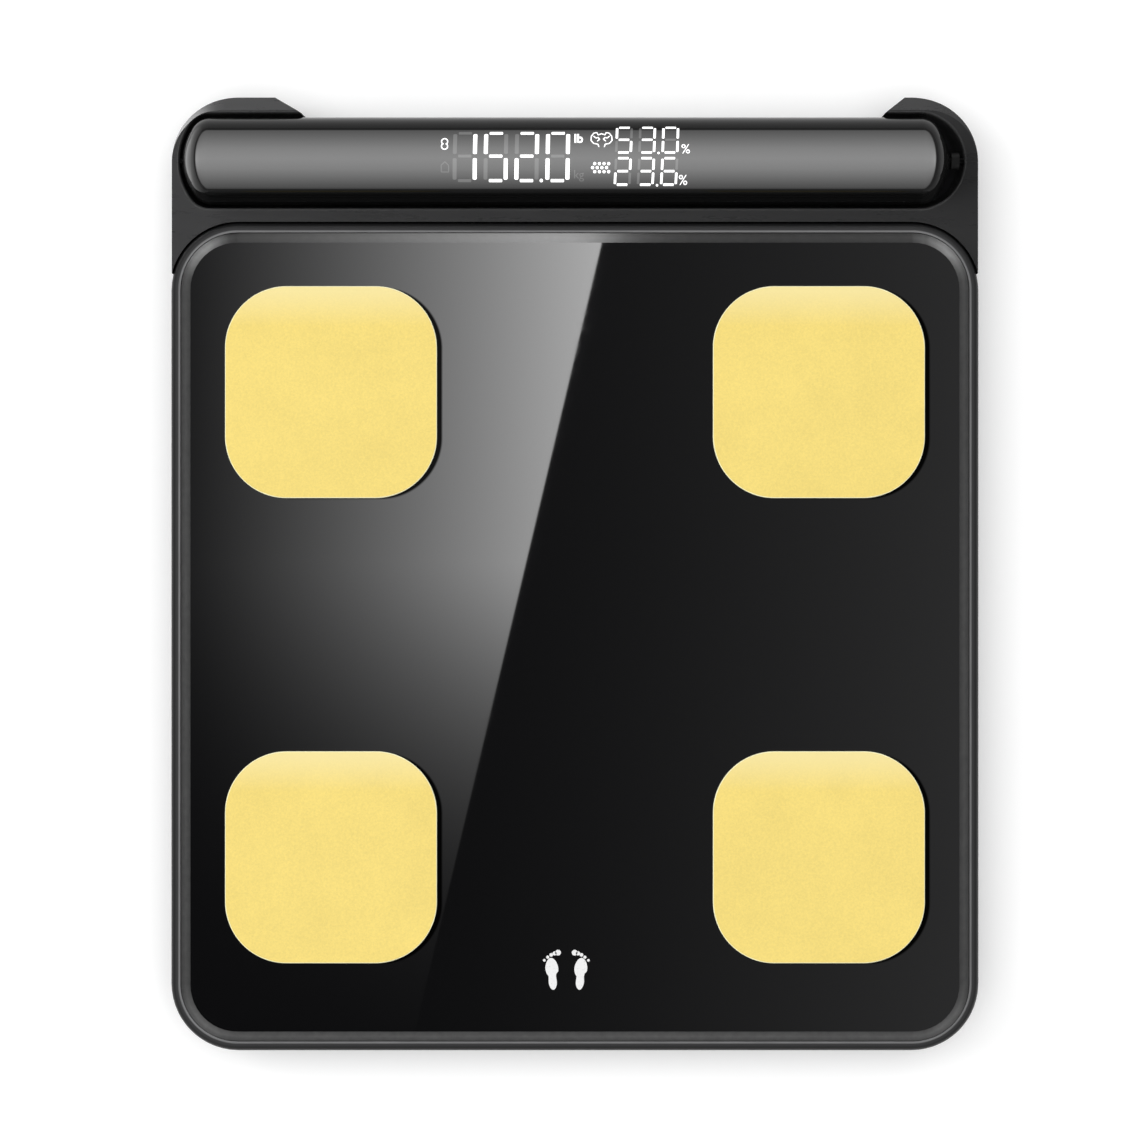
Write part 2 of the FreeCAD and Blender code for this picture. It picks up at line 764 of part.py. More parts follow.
def platform_frame():
    """The upper shell under the glass: rim, seat plate, ribs and screw bosses."""
    body = new_body("platform_frame")
    outline = sketch_on(body, "outline", y=FRAME_Y, z=S.split_height)
    add_rounded_box(outline, S.overall_width, S.frame_depth, S.frame_radius)
    pad(body, outline, S.rim_height - S.split_height)
    dress(body, "Fillet", level(S.rim_height), S.rim_edge_radius)

    seat = sketch_on(body, "glass_seat", y=FRAME_Y, z=S.seat_height)
    gap = S.glass_gap * 2
    add_rounded_box(seat, GLASS_WIDTH + gap, GLASS_DEPTH + gap, GLASS_RADIUS + S.glass_gap)
    pocket(body, seat, S.rim_height)

    inside = sketch_on(body, "inside", y=FRAME_Y, z=S.split_height - 1.0)
    double = S.wall * 2
    add_rounded_box(
        inside, S.overall_width - double, S.frame_depth - double, S.frame_radius - S.wall
    )
    pocket(body, inside, PLATE_BOTTOM - S.split_height + 1.0)

    ribs = sketch_on(body, "ribs", z=PLATE_BOTTOM - S.rib_depth)
    for y in (-128, -84, -56, 20):
        add_box(ribs, 150 if y < -56 else 262, S.rib_thickness, 0, y)
    pad(body, ribs, S.rib_depth + 0.5)
    cross_ribs = sketch_on(body, "cross_ribs", z=PLATE_BOTTOM - S.rib_depth)
    for x in (-44, 44):
        add_box(cross_ribs, S.rib_thickness, 168, x, -64)
    pad(body, cross_ribs, S.rib_depth + 0.5)

    bosses = sketch_on(body, "screw_bosses", z=S.split_height)
    for x, y in HOUSING_SCREWS:
        add_circle(bosses, 3.6, x, y)
    pad(body, bosses, PLATE_BOTTOM - S.split_height + 0.5)
    pilots = sketch_on(body, "pilot_holes", z=S.split_height - 1.0)
    for x, y in HOUSING_SCREWS:
        add_circle(pilots, S.screw_radius, x, y)
    pocket(body, pilots, PLATE_BOTTOM - S.split_height + 1.0)

    stud_holes = sketch_on(body, "stud_holes", z=PLATE_BOTTOM - 1.0)
    for _, x, y in electrode_places():
        add_circle(stud_holes, S.stud_radius * 2, x, y)
    pocket(body, stud_holes, S.plate_thickness + 2.0)
    return body


def electrode_places():
    """Each electrode's name and its centre."""
    rows = (("front", S.electrode_front_y), ("rear", S.electrode_rear_y))
    return [
        (f"{row}_{side}", S.electrode_x * sign, y)
        for row, y in rows
        for side, sign in LEFT_RIGHT
    ]


def glass_adhesive():
    """The foam tape ring that bonds the glass to its seat."""
    body = new_body("glass_adhesive")
    ring = sketch_on(body, "ring", y=FRAME_Y, z=S.seat_height)
    outer_w, outer_d = GLASS_WIDTH - 6.0, GLASS_DEPTH - 6.0
    double = S.adhesive_width * 2
    add_rounded_box(ring, outer_w, outer_d, GLASS_RADIUS - 3.0)
    add_rounded_box(ring, outer_w - double, outer_d - double, 4.0)
    pad(body, ring, S.adhesive_thickness)
    return body


def glass_platform():
    """The tempered glass plate with its polished bevel and a hole for each electrode's stud."""
    body = new_body("glass_platform")
    outline = sketch_on(body, "outline", y=FRAME_Y, z=GLASS_BOTTOM)
    add_rounded_box(outline, GLASS_WIDTH, GLASS_DEPTH, GLASS_RADIUS)
    pad(body, outline, S.glass_thickness)
    dress(body, "Chamfer", level(GLASS_BOTTOM), 0.5)
    holes = sketch_on(body, "stud_holes", z=GLASS_BOTTOM - 1.0)
    for _, x, y in electrode_places():
        add_circle(holes, S.stud_radius + S.stud_clearance, x, y)
    pocket(body, holes, S.glass_thickness + 2.0)
    bevel = outer_level(GLASS_TOP, GLASS_WIDTH, GLASS_DEPTH, FRAME_Y)
    dress(body, "Chamfer", bevel, S.bevel_height, S.bevel_width)
    return body


def electrode(place_name, x, y):
    """One thin metal contact plate on the glass."""
    body = new_body(f"electrode_{place_name}")
    outline = sketch_on(body, "outline")
    add_rounded_box(outline, S.electrode_size, S.electrode_size, S.electrode_radius)
    pad(body, outline, S.electrode_thickness)
    dress(body, "Fillet", level(S.electrode_thickness), S.electrode_edge)
    place(body, x, y, GLASS_TOP)
    return body


def electrode_studs():
    """The four contact studs that carry current through the glass, as separate solids."""
    length = GLASS_TOP - S.stud_bottom
    return group(
        "electrode_studs",
        [cylinder(S.stud_radius, length, x, y, S.stud_bottom) for _, x, y in electrode_places()],
    )


# ---- Load cells and feet ----------------------------------------------------------------------------


def load_cell(corner, x, y):
    """The stamped steel weighing plate, whose middle tongue bends as the foot is pressed."""
    body = new_body(f"load_cell_{corner}")
    plate = sketch_on(body, "plate")
    add_rounded_box(plate, S.cell_size, S.cell_size, 3.0)
    pad(body, plate, S.cell_thickness)
    half, slot = S.tongue_width / 2, S.slot_width
    back, front = size(-9.0), size(10.0)
    slots = sketch_on(body, "slots", z=-1.0)
    add_polygon(
        slots,
        [
            (-half - slot, back),
            (-half, back),
            (-half, front),
            (half, front),
            (half, back),
            (half + slot, back),
            (half + slot, front + slot),
            (-half - slot, front + slot),
        ],
    )
    pocket(body, slots, S.cell_thickness + 2.0)
    place(body, x, y, S.cell_height)
    return body


def strain_gauges():
    """The bonded gauge on each weighing plate, as separate solids."""
    top = S.cell_height + S.cell_thickness
    gauges = [block(7.0, 4.6, 0.5, x, y + S.gauge_y, top) for _, x, y in CORNERS]
    return group("strain_gauges", gauges)


def load_cell_bracket(corner, x, y):
    """The plastic ring that clamps a weighing plate's corners to its well."""
    body = new_body(f"load_cell_bracket_{corner}")
    ring = sketch_on(body, "ring", z=S.cell_thickness)
    add_circle(ring, S.well_radius + S.well_wall)
    add_circle(ring, S.bracket_inner_radius)
    pad(body, ring, S.bracket_thickness)
    feet = sketch_on(body, "spacers")
    for sign in (-1, 1):
        add_circle(feet, 2.3, S.bracket_screw_circle * sign, 0)
    pad(body, feet, S.cell_thickness + 0.5)
    holes = sketch_on(body, "screw_holes", z=-1.0)
    for sign in (-1, 1):
        add_circle(holes, S.small_screw_radius + 0.1, S.bracket_screw_circle * sign, 0)
    pocket(body, holes, S.bracket_thickness + S.cell_thickness + 2.0)
    towards_board = -1 if x.value > 0 else 1
    lead_gap = sketch_on(body, "lead_gap", z=S.cell_thickness - 1.0)
    add_box(lead_gap, 16.0, 3.0, towards_board * 18.0, S.gauge_y)
    pocket(body, lead_gap, S.bracket_thickness + 2.0)
    place(body, x, y, S.cell_height)
    return body


def foot_cup(corner, x, y):
    """The plastic foot that slides in its well, with a boss that presses the tongue."""
    body = new_body(f"foot_cup_{corner}")
    top = S.pad_height + S.cup_height
    dish = sketch_on(body, "dish", z=S.pad_height - 1.0)
    add_circle(dish, S.foot_radius)
    pad(body, dish, S.cup_height + 1.0)
    dress(body, "Fillet", level(S.pad_height - 1.0), 0.8)
    recess = sketch_on(body, "pad_recess", z=0)
    add_circle(recess, S.pad_radius)
    pocket(body, recess, S.pad_height)
    hollow = sketch_on(body, "hollow", z=S.pad_height + 1.6)
    add_circle(hollow, S.foot_radius - 1.8)
    add_circle(hollow, S.boss_radius)
    pocket(body, hollow, S.cup_height)
    boss = sketch_on(body, "boss", z=top - 0.5)
    add_circle(boss, S.boss_radius)
    pad(body, boss, S.cell_height - top + 0.5)
    place(body, x, y, 0)
    return body


def foot_pad(corner, x, y):
    """The rubber sole, with ring grooves in its underside."""
    body = new_body(f"foot_pad_{corner}")
    disc = sketch_on(body, "disc")
    add_circle(disc, S.pad_radius)
    pad(body, disc, S.pad_height)
    dress(body, "Chamfer", level(0), 0.4)
    for radius in (5.0, 9.0, 13.0):
        groove = sketch_on(body, "groove", z=-1.0)
        add_circle(groove, radius + 1.0)
        add_circle(groove, radius)
        pocket(body, groove, S.pad_groove_depth + 1.0)
    place(body, x, y, 0)
    return body


# ---- Battery bay ------------------------------------------------------------------------------------


def battery_door():
    """The flush door under the batteries, with two hooks and a thumb latch."""
    body = new_body("battery_door")
    width = S.door_opening_width - S.door_gap * 2
    length = S.door_opening_length - S.door_gap * 2
    middle = S.door_front_y + S.door_opening_length / 2
    plate = sketch_on(body, "plate", z=S.base_bottom)
    add_rounded_box(plate, width, length, 2.0, 0, middle)
    pad(body, plate, S.door_thickness)
    hook_root = sketch_on(body, "hook_roots", z=S.base_bottom + 1.0)
    front = S.door_front_y + S.door_gap
    for sign in (-1, 1):
        add_box(hook_root, S.hook_width, 2.4, S.cell_pitch * sign, front + 1.2)
    pad(body, hook_root, 2.6)
    hooks = sketch_on(body, "hooks", z=FLOOR_TOP + 0.1)
    for sign in (-1, 1):
        add_box(hooks, S.hook_width, 3.6, S.cell_pitch * sign, front - 0.2)
    pad(body, hooks, 1.3)
    latch = sketch_on(body, "latch_slot", z=S.base_bottom - 1.0)
    rear = S.door_front_y + S.door_opening_length - S.door_gap
    add_polygon(
        latch,
        [
            (-8, rear + 1.0),
            (-8, rear - 12.0),
            (-7, rear - 12.0),
            (-7, rear + 1.0),
        ],
    )
    add_polygon(
        latch,
        [
            (7, rear + 1.0),
            (7, rear - 12.0),
            (8, rear - 12.0),
            (8, rear + 1.0),
        ],
    )
    pocket(body, latch, S.door_thickness + 2.0)
    grips = sketch_on(body, "thumb_grooves", z=S.base_bottom - 1.0)
    for step in range(3):
        add_box(grips, 10.0, 0.8, 0, rear - 2.4 - 2.0 * step)
    pocket(body, grips, 1.5)
    return body


def battery(number):
    """One AAA cell: can and raised terminal."""
    x = S.cell_pitch * (number - 2.5)
    y = S.bay_front_y + (S.bay_length - S.battery_length) / 2
    z = S.base_bottom + S.door_thickness + 0.4 + S.battery_radius
    flip = number % 2 == 0
    nub_y = y - 0.8 if flip else y + S.battery_length
    can = cylinder(S.battery_radius, S.battery_length, x, y, z, ALONG_Y)
    nub = cylinder(1.9, 0.8, x, nub_y, z, ALONG_Y)
    return fuse(f"battery_{number}", [can, nub])


def battery_springs():
    """A coil spring behind each cell's flat end, as separate solids."""
    turns, pitch, coil, wire = 2.5, 1.25, 2.6, 0.36
    corners = [
        Vector(coil + wire * math.cos(math.pi * i / 4), 0, wire * math.sin(math.pi * i / 4))
        for i in range(8)
    ]
    springs = []
    for number in range(1, 5):
        flip = number % 2 == 0
        x = S.cell_pitch.value * (number - 2.5)
        z = S.base_bottom.value + S.door_thickness.value + 0.4 + S.battery_radius.value
        cell_end = S.bay_front_y.value + (S.bay_length.value - S.battery_length.value) / 2
        y = cell_end + S.battery_length.value + wire if flip else cell_end - wire
        helix = Part.makeHelix(pitch, turns * pitch, coil)
        section = Part.makePolygon(corners + corners[:1])
        spring = Part.Wire(helix.Edges).makePipeShell([section], True, True)
        direction = Vector(0, 1, 0) if flip else Vector(0, -1, 0)
        turn_to = FreeCAD.Rotation(Vector(0, 0, 1), direction)
        spring.Placement = FreeCAD.Placement(Vector(x, y, z), turn_to)
        springs.append(spring)
    return featured("battery_springs", Part.makeCompound(springs))


def battery_contacts():
    """The spring-steel plates at both ends of the bay, as separate solids."""
    z, height, thin = 8.2, 6.4, 0.4
    front, rear = S.bay_front_y + thin / 2, S.bay_front_y + S.bay_length - thin / 2
    single, double = 8.4, 19.0
    return group(
        "battery_contacts",
        [
            block(single, thin, height, S.cell_pitch * -1.5, front, z),
            block(double, thin, height, 0, front, z),
            block(single, thin, height, S.cell_pitch * 1.5, front, z),
            block(double, thin, height, S.cell_pitch * -1, rear, z),
            block(double, thin, height, S.cell_pitch, rear, z),
        ],
    )


# ---- Main board and unit button ---------------------------------------------------------------------


def main_board():
    body = new_body("main_board")
    outline = sketch_on(body, "outline", z=S.board_height)
    add_rounded_box(outline, S.board_width, S.board_depth, 2.0, S.board_x, S.board_y)
    for x, y in board_corners():
        add_circle(outline, S.small_screw_radius + 0.2, x, y)
    pad(body, outline, S.board_thickness)
    return body


def board_components():
    """Chip, radio module, connectors and capacitors, as separate solids on the board."""
    top = S.board_height + S.board_thickness
    x, y = S.board_x, S.board_y
    solids = [
        block(10.0, 10.0, 1.4, x - 6.0, y + 2.0, top),
        block(13.0, 16.0, 1.9, x - 22.0, y + 1.0, top),
        block(6.0, 12.0, 2.6, x + 27.0, y, top),
        block(14.0, 5.0, 2.6, x, y + 14.0, top),
        cylinder(2.4, 2.8, x + 10.0, y - 8.0, top),
        cylinder(2.4, 2.8, x + 16.0, y - 8.0, top),
        block(3.2, 1.6, 0.9, x + 6.0, y + 6.0, top),
        block(3.2, 1.6, 0.9, x + 6.0, y - 1.0, top),
    ]
    return group("board_components", solids)


def switch_body():
    """The tactile switch's case, under the board, with a guide hole for its plunger."""
    body = new_body("switch_body")
    case = sketch_on(body, "case")
    add_rounded_box(case, 6.2, 6.2, 0.5)
    pad(body, case, 2.4)
    hole = sketch_on(body, "guide", z=-1.0)
    add_circle(hole, 1.75)
    pocket(body, hole, 2.6)
    place(body, S.button_x, S.button_y, S.board_height - 2.4)
    return body


def switch_plunger():
    bottom = S.board_height - 4.0
    body = new_body("switch_plunger")
    stem = sketch_on(body, "stem")
    add_circle(stem, 1.65)
    pad(body, stem, 2.3)
    place(body, S.button_x, S.button_y, bottom)
    return body


def unit_button():
    """The round key under the base that changes the weighing unit."""
    body = new_body("unit_button")
    flange_z = FLOOR_TOP + 0.05
    cap = sketch_on(body, "cap", z=S.base_bottom + 0.3)
    add_circle(cap, S.button_radius)
    pad(body, cap, S.floor_thickness)
    dress(body, "Fillet", level(S.base_bottom + 0.3), 0.4)
    dish = sketch_on(body, "dish", z=S.base_bottom - 0.7)
    add_circle(dish, S.button_radius - 1.4)
    pocket(body, dish, 1.3)
    flange = sketch_on(body, "flange", z=flange_z)
    add_circle(flange, S.button_radius + 1.2)
    pad(body, flange, 0.9)
    stem = sketch_on(body, "stem", z=flange_z + 0.5)
    add_circle(stem, 1.65)
    pad(body, stem, S.board_height - 4.0 - flange_z - 0.5)
    place(body, S.button_x, S.button_y, 0)
    return body


# ---- Display barrel ---------------------------------------------------------------------------------


def display_barrel():
    """The smoked tube that covers the display, with a slot for its lead."""
    body = new_body("display_barrel")
    ring = sketch_on(body, "ring", "YZ")
    add_circle(ring, S.barrel_radius)
    add_circle(ring, BARREL_INNER)
    pad(body, ring, SEAM_RIGHT - SEAM_LEFT)
    slot = sketch_on(body, "lead_slot", z=-(S.barrel_radius + 1))
    add_rounded_box(slot, 8.0, 5.0, 2.0, -(SEAM_LEFT - LEAD_X), -9.8)
    pocket(body, slot, 10.0)
    place(body, SEAM_LEFT, S.barrel_y, S.barrel_z)
    return body


def barrel_cap(side, sign):
    """A domed end cap with a spigot inside the tube and a bore for its pivot."""
    body = new_body(f"barrel_cap_{side}")
    profile = sketch_on(body, "profile")
    bore = S.pivot_radius + S.pivot_clearance
    spigot = BARREL_INNER - 0.05
    knuckle, crown, top, end, tip = add_dome(
        profile, 0, S.barrel_radius, S.dome_depth, S.dome_knuckle, sign, bore.value
    )
    inner = S.cap_spigot * -sign
    corners = [(tip, bore), (inner, bore), (inner, spigot), (0, spigot), (0, S.barrel_radius)]
    places = [Vector(size(x).value, size(y).value, 0) for x, y in corners]
    lines = [
        profile.addGeometry(Part.LineSegment(places[i], places[i + 1]))
        for i in range(len(places) - 1)
    ]
    for i, line in enumerate(lines[1:], 1):
        profile.addConstraint(Sketcher.Constraint("Coincident", lines[i - 1], 2, line, 1))
        fix_point(profile, line, 1, *corners[i])
    profile.addConstraint(Sketcher.Constraint("Coincident", crown, end, lines[0], 1))
    profile.addConstraint(Sketcher.Constraint("Coincident", lines[-1], 2, knuckle, top))
    profile.addConstraint(Sketcher.Constraint("Horizontal", lines[0]))
    fix_point(profile, lines[-1], 2, x=0)
    turn(body, profile)
    place(body, SEAM_LEFT if sign < 0 else SEAM_RIGHT, S.barrel_y, S.barrel_z)
    return body


def pivot(side, sign):
    """A steel pin held in a horn and running in the barrel cap's bore."""
    apex = S.barrel_left if sign < 0 else S.barrel_right
    wall = S.cradle_left if sign < 0 else S.cradle_right
    seat = S.pivot_seat_left if sign < 0 else S.pivot_seat_right
    inner = apex + S.pivot_reach * -sign
    outer = wall + seat * sign
    low, high = (outer, inner) if sign < 0 else (inner, outer)
    pin = cylinder(S.pivot_radius, high - low, low, S.barrel_y, S.barrel_z, ALONG_X)
    pin.Label = f"pivot_{side}"
    return finish_feature(pin)


def pivot_collar():
    """The sleeve on the right pivot that keeps the barrel from sliding along it."""
    body = new_body("pivot_collar")
    ring = sketch_on(body, "ring", "YZ")
    add_circle(ring, S.collar_radius)
    add_circle(ring, S.pivot_radius + 0.02)
    pad(body, ring, S.collar_length)
    place(body, S.barrel_right + 0.6, S.barrel_y, S.barrel_z)
    return body


def display_chassis():
    """The carrier inside the barrel: a floor with two side rails that the board lies on."""
    body = new_body("display_chassis")
    width, half = S.chassis_width, S.chassis_width / 2
    board_bottom = display_board_bottom()
    section = sketch_on(body, "section", "YZ", x=-(S.chassis_length / 2))
    add_polygon(
        section,
        [
            (-half, board_bottom - 4.0),
            (half, board_bottom - 4.0),
            (half, board_bottom),
            (half - 3.2, board_bottom),
            (half - 3.2, board_bottom - 2.4),
            (-half + 3.2, board_bottom - 2.4),
            (-half + 3.2, board_bottom),
            (-half, board_bottom),
        ],
    )
    pad(body, section, S.chassis_length)
    window = sketch_on(body, "lightening", z=board_bottom - 5.0)
    for x in (-75, -45, -15, 15, 45, 75):
        add_rounded_box(window, 22.0, width - 8.0, 3.0, x, 0)
    pocket(body, window, 4.0)
    place(body, S.lcd_x, S.barrel_y, S.barrel_z)
    return body


def display_board_bottom():
    """The display board's underside, as a height above the barrel's axis."""
    return S.lcd_rise - S.backlight_thickness - S.board_thickness


def display_stack(label, length, width, thickness, rise):
    """A flat layer of the display, at that height above the barrel's axis."""
    body = new_body(label)
    outline = sketch_on(body, "outline")
    add_rounded_box(outline, length, width, 1.0)
    pad(body, outline, thickness)
    place(body, S.lcd_x, S.barrel_y, S.barrel_z + rise)
    return body


# ---- Leads ------------------------------------------------------------------------------------------


def lead(points):
    """A round lead along straight runs joined by tangent arcs, as large as the runs allow."""
    route = [Vector(*p) for p in points]
    edges, start = [], route[0]
    for before, corner, after in zip(route, route[1:], route[2:]):
        back, ahead = before - corner, after - corner
        turn_angle = math.pi - back.getAngle(ahead)
        cut = 0.45 * min(back.Length, ahead.Length)
        back.normalize()
        ahead.normalize()
        radius = cut / math.tan(turn_angle / 2)
        enter, leave = corner + back * cut, corner + ahead * cut
        to_centre = (back + ahead).normalize()
        middle = corner + to_centre * (radius / math.cos(turn_angle / 2) - radius)
        edges.append(Part.LineSegment(start, enter).toShape())
        edges.append(Part.Arc(enter, middle, leave).toShape())
        start = leave
    edges.append(Part.LineSegment(start, route[-1]).toShape())
    path = Part.Wire(edges)
    circle = Part.Circle(route[0], route[1] - route[0], LEAD_RADIUS)
    section = Part.Wire([circle.toShape()])
    solid = path.makePipeShell([section], True, False)
    expected = math.pi * LEAD_RADIUS**2 * path.Length
    if abs(solid.Volume / expected - 1) > 0.02:
        raise RuntimeError("a lead's volume is not its section times its length")
    return solid


def load_cell_leads():
    """The lead of each weighing plate, from its gauge to the edge of the main board."""
    height = 11.8
    leads = []
    for _, x, y in CORNERS:
        side = 1 if x.value > 0 else -1
        front = y.value < 0
        gauge_y = y.value + S.gauge_y.value
        board_y = S.board_y.value + (-2.0 if front else 4.0)
        bend_y = board_y + (-10.0 if front else 10.0)
        leads.append(
            lead(
                [
                    (x.value - side * 3.7, gauge_y, height),
                    (side * 60.0, gauge_y, height),
                    (side * 50.0, (gauge_y + bend_y) / 2, height),
                    (side * 42.0, bend_y, height),
                    (side * (S.board_width.value / 2 + 0.9), board_y, height),
                ]
            )
        )
    return featured("load_cell_leads", Part.makeCompound(leads))


def electrode_leads():
    """The lead from each electrode's stud to the board."""
    leads = []
    for _, x, y in electrode_places():
        side = 1 if x.value > 0 else -1
        front = y.value < 0
        low = 13.2
        end_y = S.board_y.value + (-9.0 if front else 12.0)
        leads.append(
            lead(
                [
                    (x.value, y.value, S.stud_bottom.value - 0.1),
                    (x.value, y.value, low),
                    (x.value - side * 22.0, y.value + (22 if front else -26), low),
                    (side * 40.0, end_y + (-12 if front else 12), low),
                    (side * (S.board_width.value / 2 + 1.2), end_y, low - 0.6),
                ]
            )
        )
    return featured("electrode_leads", Part.makeCompound(leads))


def display_lead():
    """The display's lead, from the main board to the wall of the barrel's trough."""
    z = 10.6
    return featured(
        "display_lead",
        lead(
            [
                (S.board_x.value - 30.0, S.board_y.value + 19.6, z),
                (-34.0, 26.0, z),
                (-38.0, 52.0, z),
                (-42.0, 80.0, z),
                (LEAD_X, 98.0, z),
                (LEAD_X, 121.6, z),
            ]
        ),
    )


def display_lead_inner():
    """The display's lead inside the barrel, from the slot to the display board."""
    y, z = S.barrel_y.value, S.barrel_z.value
    end = z + display_board_bottom().value - 0.9
    route = [(LEAD_X, y - 9.8, z - 5.6), (LEAD_X - 1.0, y - 4.0, z - 4.6), (LEAD_X - 4.0, y, end)]
    return featured("display_lead_inner", lead(route))


# ---- Fasteners --------------------------------------------------------------------------------------


def screw(name, radius, head_radius, head_height, length, x, y, z, head_up=False):
    """A screw whose head's seat is at z; the shank runs up from it, or down when the head is up."""
    if head_up:
        shank = cylinder(radius, length, x, y, size(z) - length)
        head = cylinder(head_radius, head_height, x, y, z)
    else:
        shank = cylinder(radius, length, x, y, z)
        head = cylinder(head_radius, head_height, x, y, size(z) - head_height)
    return fuse(name, [shank, head])


def housing_screws():
    """The screws that join the base to the platform frame, heads in their counterbores."""
    seat = screw_seat()
    length = PLATE_BOTTOM - seat - 0.6
    return group(
        "housing_screws",
        [
            screw("HousingScrew", S.screw_radius, S.screw_head_radius, S.screw_head_height, length, x, y, seat)
            for x, y in HOUSING_SCREWS
        ],
    )


def board_screws():
    top = S.board_height + S.board_thickness
    return group(
        "board_screws",
        [
            screw("BoardScrew", S.small_screw_radius, S.small_head_radius, S.small_head_height,
                  S.board_thickness + S.pilot_depth - 0.4, x, y, top, head_up=True)
            for x, y in board_corners()
        ],
    )


def bracket_screws():
    top = S.cell_height + S.cell_thickness + S.bracket_thickness
    length = S.bracket_thickness + S.cell_thickness + S.pilot_depth - 0.4
    return group(
        "bracket_screws",
        [
            screw("BracketScrew", S.small_screw_radius, S.small_head_radius, S.small_head_height,
                  length, x + S.bracket_screw_circle * sign, y, top, head_up=True)
            for _, x, y in CORNERS
            for sign in (-1, 1)
        ],
    )


def build():
    """Makes every sub-part and returns them."""
    parts = [base_housing(), rear_cover(), platform_frame()]
    parts += [glass_adhesive(), glass_platform(), electrode_studs(), electrode_leads()]
    parts += [electrode(name, x, y) for name, x, y in electrode_places()]
    for maker in (load_cell, load_cell_bracket, foot_cup, foot_pad):
        parts += [maker(corner, x, y) for corner, x, y in CORNERS]
    parts += [strain_gauges(), load_cell_leads(), bracket_screws()]
    parts += [battery(number) for number in range(1, 5)]
    parts += [battery_door(), battery_springs(), battery_contacts()]
    parts += [main_board(), board_components(), board_screws()]
    parts += [switch_body(), switch_plunger(), unit_button()]
    parts += [display_barrel(), barrel_cap("left", -1), barrel_cap("right", 1)]
    parts += [pivot("left", -1), pivot("right", 1), pivot_collar(), display_chassis()]
    board = display_board_bottom()
    parts += [
        display_stack("display_board", S.display_board_length, S.lcd_width, S.board_thickness, board),
        display_stack("backlight_panel", S.lcd_length - 2.0, S.lcd_width - 1.0,
                      S.backlight_thickness, board + S.board_thickness),
        display_stack("lcd_panel", S.lcd_length, S.lcd_width, S.lcd_thickness, S.lcd_rise),
        display_lead(),
        display_lead_inner(),
        housing_screws(),
    ]
    return parts


def main():
    parts = build()
    DOC.recompute()
    failed = [o.Label for o in DOC.Objects if "Invalid" in o.State or "Error" in o.State]
    if failed:
        raise RuntimeError(f"these objects failed: {failed}")
    os.makedirs("parts", exist_ok=True)
    for old in os.listdir("parts"):
        os.remove(os.path.join("parts", old))
    for part in parts:
        shape = part.Shape
        if shape.isNull() or not shape.isValid() or not shape.Solids:
            raise RuntimeError(f"{part.Label} has no valid solid")
        shape.exportStep(os.path.join("parts", f"{part.Label}.step"))
        print(f"{part.Label}: {len(shape.Solids)} solids, {shape.Volume / 1000:.2f} cm3")


main()
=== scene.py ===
"""Looks of the bathroom scale: materials, the lit display, print on the glass, floor, light and camera.

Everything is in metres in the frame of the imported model: +Z up, +Y towards the display barrel.
"""

import json
import math

import bpy
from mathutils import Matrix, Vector

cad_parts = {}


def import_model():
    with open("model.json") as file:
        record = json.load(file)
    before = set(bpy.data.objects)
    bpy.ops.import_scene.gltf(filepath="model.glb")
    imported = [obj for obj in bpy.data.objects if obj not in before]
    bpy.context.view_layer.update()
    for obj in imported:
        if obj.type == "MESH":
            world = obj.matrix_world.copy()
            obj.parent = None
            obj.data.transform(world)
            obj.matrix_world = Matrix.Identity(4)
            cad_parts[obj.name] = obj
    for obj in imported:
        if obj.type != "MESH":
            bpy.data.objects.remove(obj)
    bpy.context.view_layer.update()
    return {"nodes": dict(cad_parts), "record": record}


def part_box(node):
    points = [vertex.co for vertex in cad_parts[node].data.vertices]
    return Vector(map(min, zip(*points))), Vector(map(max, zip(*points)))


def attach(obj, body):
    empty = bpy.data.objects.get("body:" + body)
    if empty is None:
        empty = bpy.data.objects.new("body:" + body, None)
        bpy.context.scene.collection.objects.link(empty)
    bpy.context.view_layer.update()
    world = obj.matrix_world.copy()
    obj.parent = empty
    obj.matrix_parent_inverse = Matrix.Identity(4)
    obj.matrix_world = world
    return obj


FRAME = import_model()
NODES = FRAME["nodes"]
ROOT = "scale_body"
BARREL = "barrel"
MM = 0.001
TUBE_BLACK = (0.0004, 0.0004, 0.0004)
TUBE_GLOSS = 0.13
RIM_RADIUS = 22.0 * MM
PAD_RADIUS = 20.0 * MM
BEVEL_HEIGHT = 1.2 * MM

GLASS_LOW, GLASS_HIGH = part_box("glass_platform")
TUBE_LOW, TUBE_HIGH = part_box("display_barrel")
TUBE_RADIUS = (TUBE_HIGH[1] - TUBE_LOW[1]) / 2
TUBE_Y = (TUBE_HIGH[1] + TUBE_LOW[1]) / 2
TUBE_Z = TUBE_HIGH[2] - TUBE_RADIUS


# ---- Node graphs ------------------------------------------------------------------------------------


